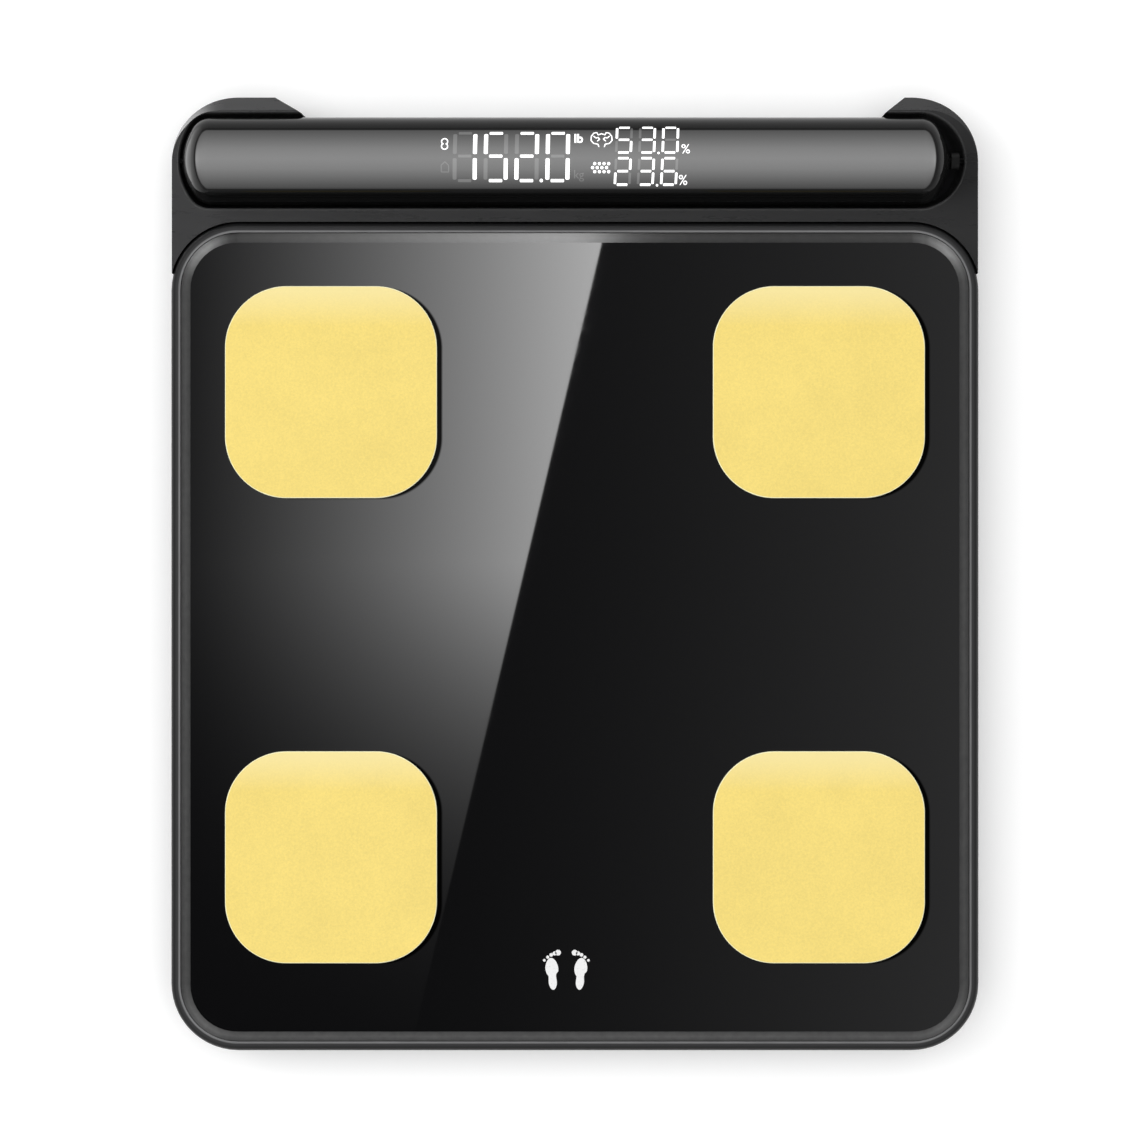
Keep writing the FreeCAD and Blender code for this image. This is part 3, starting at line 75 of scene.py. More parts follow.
class Nodes:
    """Short calls that add nodes to a node tree. Each returns a socket."""

    def __init__(self, tree):
        self.tree = tree

    def node(self, kind, inputs=(), output=0, **settings):
        """Adds a node, feeds its inputs by name or number, and returns one of its outputs."""
        node = self.tree.nodes.new(kind)
        for name, value in settings.items():
            setattr(node, name, value)
        for name, value in dict(inputs).items():
            feed(self.tree, node.inputs[name], value)
        return node.outputs[output]

    def math(self, operation, first, second=0.0, third=0.0):
        inputs = {0: first, 1: second, 2: third}
        return self.node("ShaderNodeMath", inputs, operation=operation)

    def add(self, first, second):
        return self.math("ADD", first, second)

    def times(self, first, second):
        return self.math("MULTIPLY", first, second)

    def range(self, value, low, high, to_low=0.0, to_high=1.0):
        inputs = {"Value": value, "From Min": low, "From Max": high, "To Min": to_low, "To Max": to_high}
        return self.node("ShaderNodeMapRange", inputs, clamp=True)

    def ramp(self, value, stops):
        """A smooth table of levels against a value from 0 to 1. The stops are pairs of place and level."""
        node = self.tree.nodes.new("ShaderNodeValToRGB")
        table = node.color_ramp
        for _ in stops[2:]:
            table.elements.new(0.5)
        for element, (place, level) in zip(table.elements, stops):
            element.position = place
            element.color = (level, level, level, 1.0)
        feed(self.tree, node.inputs[0], value)
        return node.outputs[0]

    def part(self, vector, axis):
        return self.node("ShaderNodeSeparateXYZ", {0: vector}, axis)

    def mix(self, amount, first, second):
        inputs = {0: amount, 6: first, 7: second}
        return self.node("ShaderNodeMix", inputs, 2, data_type="RGBA")


class Graph(Nodes):
    """A new material with a Principled shader."""

    def __init__(self, name, color, roughness, **sockets):
        self.material = bpy.data.materials.new(name)
        self.material.use_nodes = True
        super().__init__(self.material.node_tree)
        self.shader = self.tree.nodes["Principled BSDF"]
        self.set("Base Color", color)
        self.set("Roughness", roughness)
        for socket, value in sockets.items():
            self.set(socket.replace("_", " "), value)
        coordinates = self.tree.nodes.new("ShaderNodeTexCoord")
        self.place = coordinates.outputs["Object"]
        self.normal = coordinates.outputs["Normal"]

    def set(self, socket, value):
        feed(self.tree, self.shader.inputs[socket], value)

    def noise(self, scale, detail=2.0, roughness=0.5, place=None):
        inputs = {"Vector": place or self.place, "Scale": scale, "Detail": detail, "Roughness": roughness}
        return self.node("ShaderNodeTexNoise", inputs)

    def stretched(self, x, y, z):
        """The piece's own coordinates, scaled differently along each axis."""
        inputs = {0: self.place, 1: (x, y, z)}
        return self.node("ShaderNodeVectorMath", inputs, operation="MULTIPLY")

    def bump(self, height, distance, strength):
        inputs = {"Height": height, "Distance": distance, "Strength": strength}
        return self.node("ShaderNodeBump", inputs)


def feed(tree, socket, value):
    """Links a socket to another, or sets its value."""
    if isinstance(value, bpy.types.NodeSocket):
        tree.links.new(value, socket)
    elif socket.type == "RGBA" and len(value) == 3:
        socket.default_value = (*value, 1.0)
    else:
        socket.default_value = value


def scaled(color, factor):
    return tuple(c * factor for c in color)


# ---- Materials --------------------------------------------------------------------------------------


def moulded(name, color, roughness=0.5, grain=2500.0, depth=0.02, wear=0.12):
    """Moulded plastic: spark-eroded grain, slow cloudiness, and fine scuffs in the gloss.

    depth is the grain's, in millimetres. wear is how far its colour varies.
    """
    g = Graph(name, color, roughness, Specular_IOR_Level=0.35)
    cloud = g.noise(35.0, 3.0)
    grains = g.noise(grain, 2.0, 0.6)
    scuffs = g.noise(60.0, 6.0, 0.7, g.stretched(1.0, 6.0, 1.0))
    shade = g.math("MULTIPLY_ADD", cloud, 0.5, g.times(grains, 0.35))
    g.set("Base Color", g.mix(shade, scaled(color, 1 - wear), scaled(color, 1 + 2 * wear)))
    g.set("Roughness", g.range(scuffs, 0.3, 0.7, roughness - 0.06, roughness + 0.06))
    g.set("Normal", g.bump(grains, depth * MM, 0.6))
    return g.material


def black_gloss(name, roughness=0.035):
    """Polished black plastic, with the faint waviness and hairline wipe marks of a moulded tube."""
    g = Graph(name, TUBE_BLACK, roughness, IOR=1.5, Specular_IOR_Level=TUBE_GLOSS)
    marks = g.noise(900.0, 3.0, 0.6, g.stretched(0.05, 1.0, 1.0))
    haze = g.noise(25.0, 2.0)
    g.set("Roughness", g.range(g.times(marks, haze), 0.1, 0.45, roughness, roughness + 0.03))
    g.set("Normal", g.bump(g.noise(70.0, 1.0), 0.004 * MM, 0.5))
    return g.material


def platform_glass():
    """Black back-printed glass: a polished top with faint smudges, a finely ground bevel whose grey is
    partly painted highlight, and a painted shadow beside each pad.
    """
    black, painted_shadow_black = (0.002, 0.002, 0.0023), (0.0005, 0.0005, 0.0005)
    g = Graph("platform_glass", black, 0.02, IOR=1.5)
    upward = g.part(g.normal, 2)
    bevel = g.times(g.range(upward, 0.999, 0.97), g.range(upward, 0.3, 0.5))
    smudge = g.noise(9.0, 5.0, 0.6)
    fine = g.noise(260.0, 4.0, 0.6)
    haze = g.times(g.range(smudge, 0.5, 0.8), g.range(fine, 0.4, 0.7))
    polish = g.math("MULTIPLY_ADD", haze, 0.03, 0.012)
    g.set("Roughness", g.math("MULTIPLY_ADD", bevel, 0.08, polish))
    # painted shadow: beside each pad the glass is made darker and its gloss is lowered
    shade = painted_pad_shadow(g)
    # the bevel's grey is partly painted highlight
    g.set("Base Color", g.mix(bevel, g.mix(shade, black, painted_shadow_black), ground_bevel_and_highlight(g)))
    g.set("Specular IOR Level", g.range(shade, 0.0, 1.0, 0.5, 0.02))
    return g.material


def ground_bevel_and_highlight(g):
    """The ground glass's grey, partly painted highlight: it is paler or darker with the way a stretch faces,
    as light falls on it, and palest halfway up.
    """
    # painted highlight: tone levels for each way the bevel faces
    even, to_side, to_front, to_rear = 0.02, 0.08, 0.13, 0.02
    at_corners, at_rear_corners = 0.015, 0.5
    across, along = g.part(g.normal, 0), g.part(g.normal, 1)
    side, rear = g.math("ABSOLUTE", across), g.math("MAXIMUM", along, 0.0)
    front = g.math("MAXIMUM", g.times(along, -1.0), 0.0)
    corner = g.math("POWER", g.times(g.times(side, g.math("ABSOLUTE", along)), 16.0), 2.0)
    tone = g.math("MULTIPLY_ADD", side, to_side, g.math("MULTIPLY_ADD", front, to_front, even))
    tone = g.math("MULTIPLY_ADD", rear, to_rear, tone)
    at_corner = g.math("MULTIPLY_ADD", rear, at_rear_corners, at_corners)
    tone = g.math("MULTIPLY_ADD", corner, at_corner, tone)
    top = GLASS_HIGH[2]
    # painted highlight: the bevel is made palest halfway up
    from_middle = g.math("ABSOLUTE", g.range(g.part(g.place, 2), top - BEVEL_HEIGHT, top, -1.0, 1.0))
    tone = g.times(tone, g.math("MULTIPLY_ADD", from_middle, -0.4, 1.1))
    streaks = g.math("MULTIPLY_ADD", g.noise(500.0, 2.0, 0.5), 0.5, 0.75)
    grey = g.times(tone, streaks)
    return g.node("ShaderNodeCombineColor", {0: grey, 1: grey, 2: grey})


def painted_pad_shadow(g):
    """A painted shadow on the glass beside each raised pad, on its right: the glass is darker and less
    glossy there.

    It is each pad's own outline, shifted. The left pads mirror the right ones.
    """
    low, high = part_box("electrode_front_right")
    rear_low, rear_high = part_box("electrode_rear_right")
    half = (high[0] - low[0]) / 2
    right, front = (low[0] + high[0]) / 2, (low[1] + high[1]) / 2
    rear = (rear_low[1] + rear_high[1]) / 2
    shift_x, shift_y = 1.7 * MM, -0.3 * MM
    front_right = (right + shift_x, front + shift_y)
    rear_left = (-right + shift_x, rear + shift_y)
    reach = box_reach(g, front_right, (half, half), PAD_RADIUS, rear_left)
    return g.range(reach, PAD_RADIUS + 0.25 * MM, PAD_RADIUS - 0.35 * MM)


def electrode_coat():
    """Matte yellow-gold coating: fine grain, a painted sheen that makes it paler along the rear edge, and a
    glossier rim with a painted highlight.
    """
    # pale is a painted sheen along the pads' rear edges; rim is a painted highlight on their rounded rim
    gold, pale, rim = (0.83, 0.65, 0.18), (0.87, 0.75, 0.36), (1.0, 0.96, 0.62)
    fade_start, fade_end = 13.0 * MM, 2.0 * MM
    g = Graph("electrode_coat", gold, 0.42, Specular_IOR_Level=0.4)
    along = g.part(g.place, 1)
    front_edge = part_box("electrode_front_left")[1][1]
    rear_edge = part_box("electrode_rear_left")[1][1]
    on_front_pads = g.range(along, front_edge + 1.0 * MM, front_edge)
    front = g.times(g.range(along, front_edge - fade_start, front_edge - fade_end), on_front_pads)
    rear = g.range(along, rear_edge - fade_start, rear_edge - fade_end)
    rear_edge_sheen = g.add(front, rear)
    grains = g.noise(1500.0, 3.0, 0.7)
    cloud = g.noise(60.0, 3.0)
    speckle = g.math("MULTIPLY_ADD", grains, 0.7, g.times(cloud, 0.3))
    coat = g.mix(g.range(speckle, 0.35, 0.65), scaled(gold, 0.93), scaled(gold, 1.07))
    # painted sheen: each pad is made paler along its rear edge
    coat = g.mix(g.times(rear_edge_sheen, 0.75), coat, pale)
    edge = g.range(g.part(g.normal, 2), 0.999, 0.93)
    # painted highlight: the rounded rim is coloured near white
    g.set("Base Color", g.mix(edge, coat, rim))
    g.set("Roughness", g.range(edge, 0.0, 1.0, 0.45, 0.22))
    g.set("Normal", g.bump(grains, 0.03 * MM, 0.7))
    return g.material


def rim_plastic():
    """Satin dark rim with a painted highlight: its flat inner lip is coloured to a paler line, and a painted
    sheen greys its shoulder.
    """
    color, shoulder_sheen = (0.0115, 0.0115, 0.012), (0.045, 0.045, 0.046)
    lip_highlight_dark, lip_highlight_pale = (0.15, 0.15, 0.153), (0.23, 0.23, 0.234)
    g = Graph("rim_plastic", color, 0.34, Specular_IOR_Level=0.25)
    low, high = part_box("platform_frame")
    half = ((high[0] - low[0]) / 2, (high[1] - low[1]) / 2)
    outside = box_reach(g, (0.0, (high[1] + low[1]) / 2), half, RIM_RADIUS)
    inward = g.math("SUBTRACT", RIM_RADIUS, outside)
    flat = g.range(g.part(g.normal, 2), 0.9, 0.97)
    high_up = g.range(g.part(g.place, 2), high[2] - 0.5 * MM, high[2] - 0.2 * MM)
    lip = g.times(g.times(flat, high_up), g.range(inward, 2.35 * MM, 2.8 * MM))
    shoulder = g.times(high_up, g.range(inward, 1.0 * MM, 1.9 * MM))
    grains = g.noise(2200.0, 2.0, 0.6)
    body = g.mix(grains, scaled(color, 0.85), scaled(color, 1.2))
    # painted sheen on the rim's rounded shoulder
    body = g.mix(g.times(shoulder, 0.7), body, shoulder_sheen)
    # painted highlight: a pale line along the flat inner lip
    g.set("Base Color", g.mix(lip, body, g.mix(g.noise(90.0, 3.0), lip_highlight_dark, lip_highlight_pale)))
    g.set("Roughness", g.math("MULTIPLY_ADD", g.noise(70.0, 4.0), 0.1, 0.29))
    g.set("Normal", g.bump(grains, 0.012 * MM, 0.5))
    return g.material


def box_reach(g, center, half, radius, mirrored=()):
    """How far a place is, in plan, from the core of a rounded box. The outline is at the corner radius.

    mirrored gives a second box centre, where there are four alike.
    """
    reach = []
    for axis in (0, 1):
        along = g.part(g.place, axis)
        away = g.math("ABSOLUTE", g.math("SUBTRACT", along, center[axis]))
        if mirrored:
            other = g.math("ABSOLUTE", g.math("SUBTRACT", along, mirrored[axis]))
            away = g.math("MINIMUM", away, other)
        out = g.math("MAXIMUM", g.math("SUBTRACT", away, half[axis] - radius), 0.0)
        reach.append(g.times(out, out))
    return g.math("SQRT", g.add(*reach))


def rubber(name, color, roughness=0.8):
    """Moulded rubber: mottled, slightly dusty, with a soft micro texture."""
    g = Graph(name, color, roughness, Specular_IOR_Level=0.25)
    dust = g.noise(120.0, 5.0, 0.7)
    pores = g.noise(3000.0, 2.0, 0.6)
    g.set("Base Color", g.mix(g.range(dust, 0.4, 0.75), color, tuple(c * 1.5 + 0.01 for c in color)))
    g.set("Roughness", g.range(dust, 0.3, 0.7, roughness - 0.08, roughness + 0.08))
    g.set("Normal", g.bump(pores, 0.03 * MM, 0.7))
    return g.material


def brushed_metal(name, color, roughness=0.32, along=(1.0, 40.0, 40.0)):
    """Rolled or brushed metal: long fine scratches and slight staining."""
    g = Graph(name, color, roughness, Metallic=1.0)
    scratches = g.noise(120.0, 4.0, 0.7, g.stretched(*along))
    stain = g.noise(80.0, 3.0)
    g.set("Base Color", g.mix(g.range(stain, 0.3, 0.7), scaled(color, 0.82), scaled(color, 1.05)))
    g.set("Roughness", g.range(scratches, 0.3, 0.7, roughness - 0.1, roughness + 0.14))
    g.set("Normal", g.bump(scratches, 0.006 * MM, 0.5))
    return g.material


def circuit_board():
    """Green solder mask with copper tracks showing faintly through, and a glass-fibre weave."""
    g = Graph("circuit_board", (0.01, 0.09, 0.035), 0.35)
    tracks = g.node("ShaderNodeTexVoronoi", {"Vector": g.place, "Scale": 420.0}, 0,
                    feature="DISTANCE_TO_EDGE", distance="MANHATTAN")
    line = g.range(tracks, 0.10, 0.07)
    weave = g.node("ShaderNodeTexWave", {"Vector": g.place, "Scale": 900.0}, 1)
    mask = g.mix(weave, (0.008, 0.075, 0.03), (0.012, 0.1, 0.04))
    g.set("Base Color", g.mix(line, mask, (0.03, 0.19, 0.07)))
    g.set("Normal", g.bump(line, 0.03 * MM, 0.5))
    return g.material


def battery_wrap():
    """A printed cell sleeve: a dark body, a pale band by the terminal end, bare metal beyond it."""
    g = Graph("battery_wrap", (0.02, 0.05, 0.16), 0.3)
    along = g.part(g.place, 1)
    low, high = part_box("battery_1")
    base, terminal = low[1], high[1]
    band_start = g.range(along, terminal - 11.0 * MM, terminal - 10.8 * MM)
    band = g.times(band_start, g.range(along, terminal - 3.6 * MM, terminal - 3.8 * MM))
    bare_terminal = g.range(along, terminal - 1.8 * MM, terminal - 1.6 * MM)
    metal = g.math("MAXIMUM", bare_terminal, g.range(along, base + 1.6 * MM, base + 1.4 * MM))
    sleeve = g.mix(g.noise(400.0, 3.0), (0.015, 0.04, 0.13), (0.028, 0.065, 0.2))
    printed = g.mix(band, sleeve, (0.62, 0.6, 0.55))
    g.set("Base Color", g.mix(metal, printed, (0.7, 0.68, 0.64)))
    g.set("Metallic", metal)
    g.set("Normal", g.bump(g.noise(900.0, 2.0), 0.01 * MM, 0.4))
    return g.material


def smoked_panel(name, color, roughness):
    """A display layer: dark, smooth, with a faint cell grid."""
    g = Graph(name, color, roughness, IOR=1.5)
    grid = g.node("ShaderNodeTexBrick", {"Vector": g.place, "Scale": 300.0, "Mortar Size": 0.02}, 1)
    g.set("Base Color", g.mix(grid, color, tuple(c * 1.4 + 0.004 for c in color)))
    g.set("Normal", g.bump(g.noise(50.0), 0.004 * MM, 0.3))
    return g.material


def cable_jacket(name, color):
    """A soft lead's jacket: slightly mottled, with faint rings from extrusion."""
    g = Graph(name, color, 0.5, Specular_IOR_Level=0.4)
    rings = g.noise(700.0, 3.0, 0.6)
    g.set("Base Color", g.mix(rings, scaled(color, 0.8), scaled(color, 1.15)))
    g.set("Roughness", g.range(rings, 0.3, 0.7, 0.42, 0.6))
    g.set("Normal", g.bump(rings, 0.015 * MM, 0.5))
    return g.material


def lit_print():
    """Lit figures: even white light with a slight mottling from the mask in front of it."""
    g = Graph("display_glow", (0.6, 0.6, 0.6), 0.5)
    g.set("Emission Color", g.mix(g.noise(2400.0, 1.0), (0.94, 0.94, 0.94), (1.0, 1.0, 1.0)))
    g.set("Emission Strength", 1.05)
    return g.material


def unlit_print():
    """Unlit segments: the tube's own gloss, with a little backlight leaking through."""
    g = Graph("display_unlit", TUBE_BLACK, 0.04, Specular_IOR_Level=TUBE_GLOSS)
    g.set("Emission Color", g.mix(g.noise(900.0), (0.9, 0.9, 0.9), (1.0, 1.0, 1.0)))
    g.set("Emission Strength", 0.095)
    return g.material


def white_ink():
    """Screen-printed ink: near-solid, with tiny pinholes."""
    color = (0.8, 0.8, 0.8)
    g = Graph("white_ink", color, 0.35)
    g.set("Base Color", g.mix(g.range(g.noise(1800.0, 2.0), 0.25, 0.4), scaled(color, 0.75), color))
    g.set("Normal", g.bump(g.noise(1200.0), 0.008 * MM, 0.4))
    return g.material


def paint_nodes():
    """Gives every CAD node its material by the record's slot."""
    outer_grey, under_grey = (0.0135, 0.0135, 0.0138), (0.02, 0.02, 0.021)
    slots = {
        "base_plastic": moulded("base_plastic", under_grey, 0.52, 1600.0, 0.05),
        "cover_plastic": moulded("cover_plastic", outer_grey, 0.3, 2600.0, 0.008),
        "rim_plastic": rim_plastic(),
        "foam_tape": rubber("foam_tape", (0.015, 0.015, 0.015), 0.9),
        "platform_glass": platform_glass(),
        "electrode_metal": electrode_coat(),
        "stud_metal": brushed_metal("stud_metal", (0.78, 0.57, 0.25), 0.25),
        "yellow_lead": cable_jacket("yellow_lead", (0.75, 0.52, 0.04)),
        "cell_steel": brushed_metal("cell_steel", (0.56, 0.56, 0.57)),
        "bracket_plastic": moulded("bracket_plastic", (0.6, 0.6, 0.57), 0.5, 1800.0, 0.02, wear=0.05),
        "gauge_film": moulded("gauge_film", (0.62, 0.55, 0.36), 0.4, 2400.0, 0.01),
        "red_lead": cable_jacket("red_lead", (0.5, 0.03, 0.02)),
        "screw_steel": brushed_metal("screw_steel", (0.5, 0.5, 0.49), 0.3, (30.0, 30.0, 30.0)),
        "cup_plastic": moulded("cup_plastic", (0.016, 0.016, 0.017), 0.45, 2000.0, 0.02),
        "pad_rubber": rubber("pad_rubber", (0.055, 0.055, 0.055)),
        "battery_wrap": battery_wrap(),
        "door_plastic": moulded("door_plastic", under_grey, 0.52, 1600.0, 0.05),
        "spring_steel": brushed_metal("spring_steel", (0.72, 0.71, 0.68), 0.22),
        "circuit_board": circuit_board(),
        "component_black": moulded("component_black", (0.02, 0.02, 0.02), 0.5, 3000.0, 0.01),
        "plunger_plastic": moulded("plunger_plastic", (0.55, 0.55, 0.55), 0.4),
        "button_plastic": moulded("button_plastic", (0.2, 0.2, 0.2), 0.45, 2200.0, 0.02),
        "barrel_tube": black_gloss("barrel_tube"),
        "barrel_cap": black_gloss("barrel_cap", roughness=0.045),
        # painted shade: pin and collar are coloured near black so that they read as the shade in the recess
        # at the barrel's end
        "pivot_steel": brushed_metal("pivot_steel", (0.03, 0.03, 0.03), 0.4),
        "collar_plastic": moulded("collar_plastic", (0.006, 0.006, 0.006), 0.6),
        "chassis_plastic": moulded("chassis_plastic", (0.03, 0.03, 0.03), 0.5),
        "backlight_white": moulded("backlight_white", (0.8, 0.82, 0.85), 0.35, 900.0, 0.01, wear=0.02),
        "lcd_glass": smoked_panel("lcd_glass", (0.012, 0.012, 0.015), 0.12),
        "grey_lead": cable_jacket("grey_lead", (0.2, 0.2, 0.21)),
    }
    for entry in FRAME["record"]["subparts"]:
        node = NODES[entry["node"]]
        node.data.materials.clear()
        node.data.materials.append(slots[entry["material_slot"]])


# ---- Lit display ------------------------------------------------------------------------------------

GLOW_LIFT = 0.03 * MM
DISPLAY_FORWARD = 1.2 * MM
STRIP_WIDTH = 0.5 * MM
SEGMENTS = {
    "0": "abcdef",
    "1": "bc",
    "2": "abged",
    "3": "abgcd",
    "5": "afgcd",
    "6": "afgedc",
    " ": "",
}


def on_tube(x, v):
    """A point just off the tube's surface, at x along it and v behind the display's middle line."""
    radius = TUBE_RADIUS + GLOW_LIFT
    behind = v - DISPLAY_FORWARD
    return Vector((x, TUBE_Y + behind, TUBE_Z + math.sqrt(radius * radius - behind * behind)))


def bar(x0, v0, x1, v1, thickness, taper=0.5):
    """The outline of a bar between two points. Its ends are half ellipses, as long as taper says."""
    length = math.hypot(x1 - x0, v1 - v0)
    ux, uv = (x1 - x0) / length, (v1 - v0) / length
    half = thickness / 2
    outline = []
    for cx, cv, start in ((x1, v1, -90), (x0, v0, 90)):
        for step in range(7):
            angle = math.radians(start + 30 * step)
            along, across = math.cos(angle) * half * taper, math.sin(angle) * half
            outline.append((cx + ux * along - uv * across, cv + uv * along + ux * across))
    return outline


def digit_bars(x, low, width, height, wide, narrow, lean):
    """The seven segments of a digit by letter, each as an outline. lean is the shear to the right."""
    gap = 0.3 * wide
    left, right = x + wide / 2, x + width - wide / 2
    bottom, top = low + narrow / 2, low + height - narrow / 2
    middle = (bottom + top) / 2
    inset = wide * 0.7 + gap
    ends = {
        "a": (left + inset, top, right - inset, top, narrow),
        "g": (left + inset, middle, right - inset, middle, narrow),
        "d": (left + inset, bottom, right - inset, bottom, narrow),
        "f": (left, middle + inset * 0.75, left, top - inset * 0.45, wide),
        "b": (right, middle + inset * 0.75, right, top - inset * 0.45, wide),
        "e": (left, bottom + inset * 0.45, left, middle - inset * 0.75, wide),
        "c": (right, bottom + inset * 0.45, right, middle - inset * 0.75, wide),
    }
    bars = {}
    for letter, (x0, v0, x1, v1, thickness) in ends.items():
        outline = bar(x0, v0, x1, v1, thickness)
        bars[letter] = [(px + (pv - low) * lean, pv) for px, pv in outline]
    return bars


def disc(x, v, radius, points=12):
    return [
        (x + radius * math.cos(2 * math.pi * i / points), v + radius * math.sin(2 * math.pi * i / points))
        for i in range(points)
    ]


def stroke(points, thickness):
    """A bent line as a chain of overlapping rounded bars."""
    return [bar(*p, *q, thickness, 1.0) for p, q in zip(points, points[1:])]


def arc(x, v, radius, start, end, steps=10):
    angles = [math.radians(start + (end - start) * i / steps) for i in range(steps + 1)]
    return [(x + radius * math.cos(a), v + radius * math.sin(a)) for a in angles]


def lettering(text, x, v, height, bold=0.0):
    """Outlines of a short word in Blender's own font, as flat faces: a list of polygons."""
    curve = bpy.data.curves.new("word", "FONT")
    curve.body = text
    curve.size = 1.0
    curve.offset = bold
    carrier = bpy.data.objects.new("word", curve)
    bpy.context.scene.collection.objects.link(carrier)
    bpy.context.view_layer.update()
    mesh = bpy.data.meshes.new_from_object(carrier)
    tall = max(p.co.y for p in mesh.vertices)
    scale = height / tall
    faces = [
        [(x + mesh.vertices[i].co.x * scale, v + mesh.vertices[i].co.y * scale) for i in face.vertices]
        for face in mesh.polygons
    ]
    bpy.data.objects.remove(carrier)
    bpy.data.curves.remove(curve)
    bpy.data.meshes.remove(mesh)
    return faces


def shell(name, outlines, place, material, body):
    """One mesh of flat faces, each outline's points put in place by the given function."""
    vertices, faces = [], []
    for outline in outlines:
        faces.append(list(range(len(vertices), len(vertices) + len(outline))))
        vertices += [place(px, pv) for px, pv in outline]
    mesh = bpy.data.meshes.new(name)
    mesh.from_pydata(vertices, [], faces)
    mesh.update()
    mesh.materials.append(material)
    piece = bpy.data.objects.new(name, mesh)
    bpy.context.scene.collection.objects.link(piece)
    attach(piece, body)
    return piece


def sliced(outline):
    """Splits a convex outline into strips along the tube, so that each lies close to its surface."""
    low = min(v for _, v in outline)
    high = max(v for _, v in outline)
    count = max(1, math.ceil((high - low) / STRIP_WIDTH))
    strips = []
    for i in range(count):
        bottom, top = low + (high - low) * i / count, low + (high - low) * (i + 1) / count
        strip = clipped(clipped(outline, bottom, 1), top, -1)
        if len(strip) >= 3:
            strips.append(strip)
    return strips


def clipped(outline, level, sign):
    """The part of a convex outline above the level, or below it for sign -1."""
    kept = []
    for (x0, v0), (x1, v1) in zip(outline, outline[1:] + outline[:1]):
        inside, next_inside = (v0 - level) * sign >= 0, (v1 - level) * sign >= 0
        if inside:
            kept.append((x0, v0))
        if inside != next_inside:
            t = (level - v0) / (v1 - v0)
            kept.append((x0 + (x1 - x0) * t, level))
    return kept


def display():
    """The figures, units and pictograms that glow through the tube, and their unlit segments.

    Returns the unlit piece, which mirrors the tube's surroundings as the tube does.
    """
    lit, unlit = [], []

    def number(text, x, low, width, height, pitch, wide, narrow, lean):
        for index, figure in enumerate(text):
            bars = digit_bars(x + pitch * index, low, width, height, wide, narrow, lean)
            for letter, outline in bars.items():
                (lit if letter in SEGMENTS[figure] else unlit).append(outline)

    number("1520", -39.6 * MM, -7.1 * MM, 7.8 * MM, 16.2 * MM, 10.0 * MM, 1.3 * MM, 0.95 * MM, 0.018)
    lit.append(disc(-10.9 * MM, -6.6 * MM, 0.55 * MM))
    small = {"width": 5.5 * MM, "pitch": 7.5 * MM, "wide": 0.8 * MM, "narrow": 0.75 * MM, "lean": 0.045}
    number("530", 12.9 * MM, 1.8 * MM, height=9.2 * MM, **small)
    number("236", 12.5 * MM, -8.2 * MM, height=8.9 * MM, **small)
    lit.append(disc(27.0 * MM, 2.0 * MM, 0.4 * MM))
    lit.append(disc(26.6 * MM, -8.0 * MM, 0.4 * MM))

    lit.extend(lettering("lb", -0.3 * MM, 5.5 * MM, 2.9 * MM, 0.03))
    lit.extend(lettering("%", 34.3 * MM, 1.9 * MM, 3.0 * MM))
    lit.extend(lettering("%", 33.5 * MM, -7.9 * MM, 3.0 * MM))
    unlit.extend(lettering("kg", -0.5 * MM, -6.0 * MM, 2.6 * MM))

    link = [arc(-42.1 * MM, v * MM, 1.0 * MM, a, a + 300, 12) for v, a in ((5.8, -60), (4.2, 120))]
    for ring in link:
        lit.extend(stroke(ring, 0.36 * MM))
    house = [(-43.2, -4.0), (-43.2, -1.9), (-42.0, -0.8), (-40.8, -1.9), (-40.8, -4.0), (-43.2, -4.0)]
    unlit.extend(stroke([(x * MM, v * MM) for x, v in house], 0.3 * MM))

    flexed = [(0.9, 4.1), (1.2, 4.9), (2.6, 5.2), (3.4, 6.2), (3.3, 7.6), (2.5, 8.7), (1.5, 8.9), (1.1, 8.1)]
    forearm = [(2.5, 7.6), (1.8, 7.0), (1.1, 7.2), (0.6, 6.6), (1.3, 6.0)]
    for side in (-1, 1):
        for line in (flexed, forearm):
            lit.extend(stroke([((8.6 + side * x) * MM, v * MM) for x, v in line], 0.34 * MM))
    lit.extend(stroke([(7.5 * MM, 8.1 * MM), (8.6 * MM, 8.5 * MM), (9.7 * MM, 8.1 * MM)], 0.34 * MM))
    for v, count, start in ((-1.4, 4, 6.4), (-2.65, 4, 5.7), (-3.9, 4, 6.4)):
        for i in range(count):
            lit.append(disc((start + 1.5 * i) * MM, v * MM, 0.52 * MM))

    def strips(outlines):
        return [strip for outline in outlines for strip in sliced(outline)]

    shell("display_figures", strips(lit), on_tube, lit_print(), BARREL)
    return shell("display_unlit_segments", strips(unlit), on_tube, unlit_print(), BARREL)


def footprints():
    """A generic pair of footprints printed in white near the glass's front edge."""
    top = GLASS_HIGH[2] + 0.02 * MM
    outlines = []
    for side in (-1, 1):
        cx, cy = -2.8 * MM + side * 4.6 * MM, GLASS_LOW[1] + 22.0 * MM
        sole = []
        for step in range(40):
            angle = 2 * math.pi * step / 40
            across, along = math.cos(angle), math.sin(angle)
            waist = 1.0 - 0.30 * math.exp(-(((along + 0.15) / 0.35) ** 2))
            width = (2.35 if along > 0 else 1.75) * waist
            sole.append((cx + (across * width + side * 0.35 * along) * MM, cy + along * 5.2 * MM))
        outlines.append(sole)
        for toe, radius in enumerate((0.95, 0.68, 0.6, 0.52, 0.45)):
            x = cx - side * (1.9 - 1.12 * toe) * MM
            y = cy + (6.9 - 0.1 * toe - 0.13 * toe * toe) * MM
            outlines.append(disc(x, y, radius * MM, 16))
    return shell("glass_print", outlines, lambda x, y: Vector((x, y, top)), white_ink(), ROOT)


# ---- Floor, light and camera ------------------------------------------------------------------------

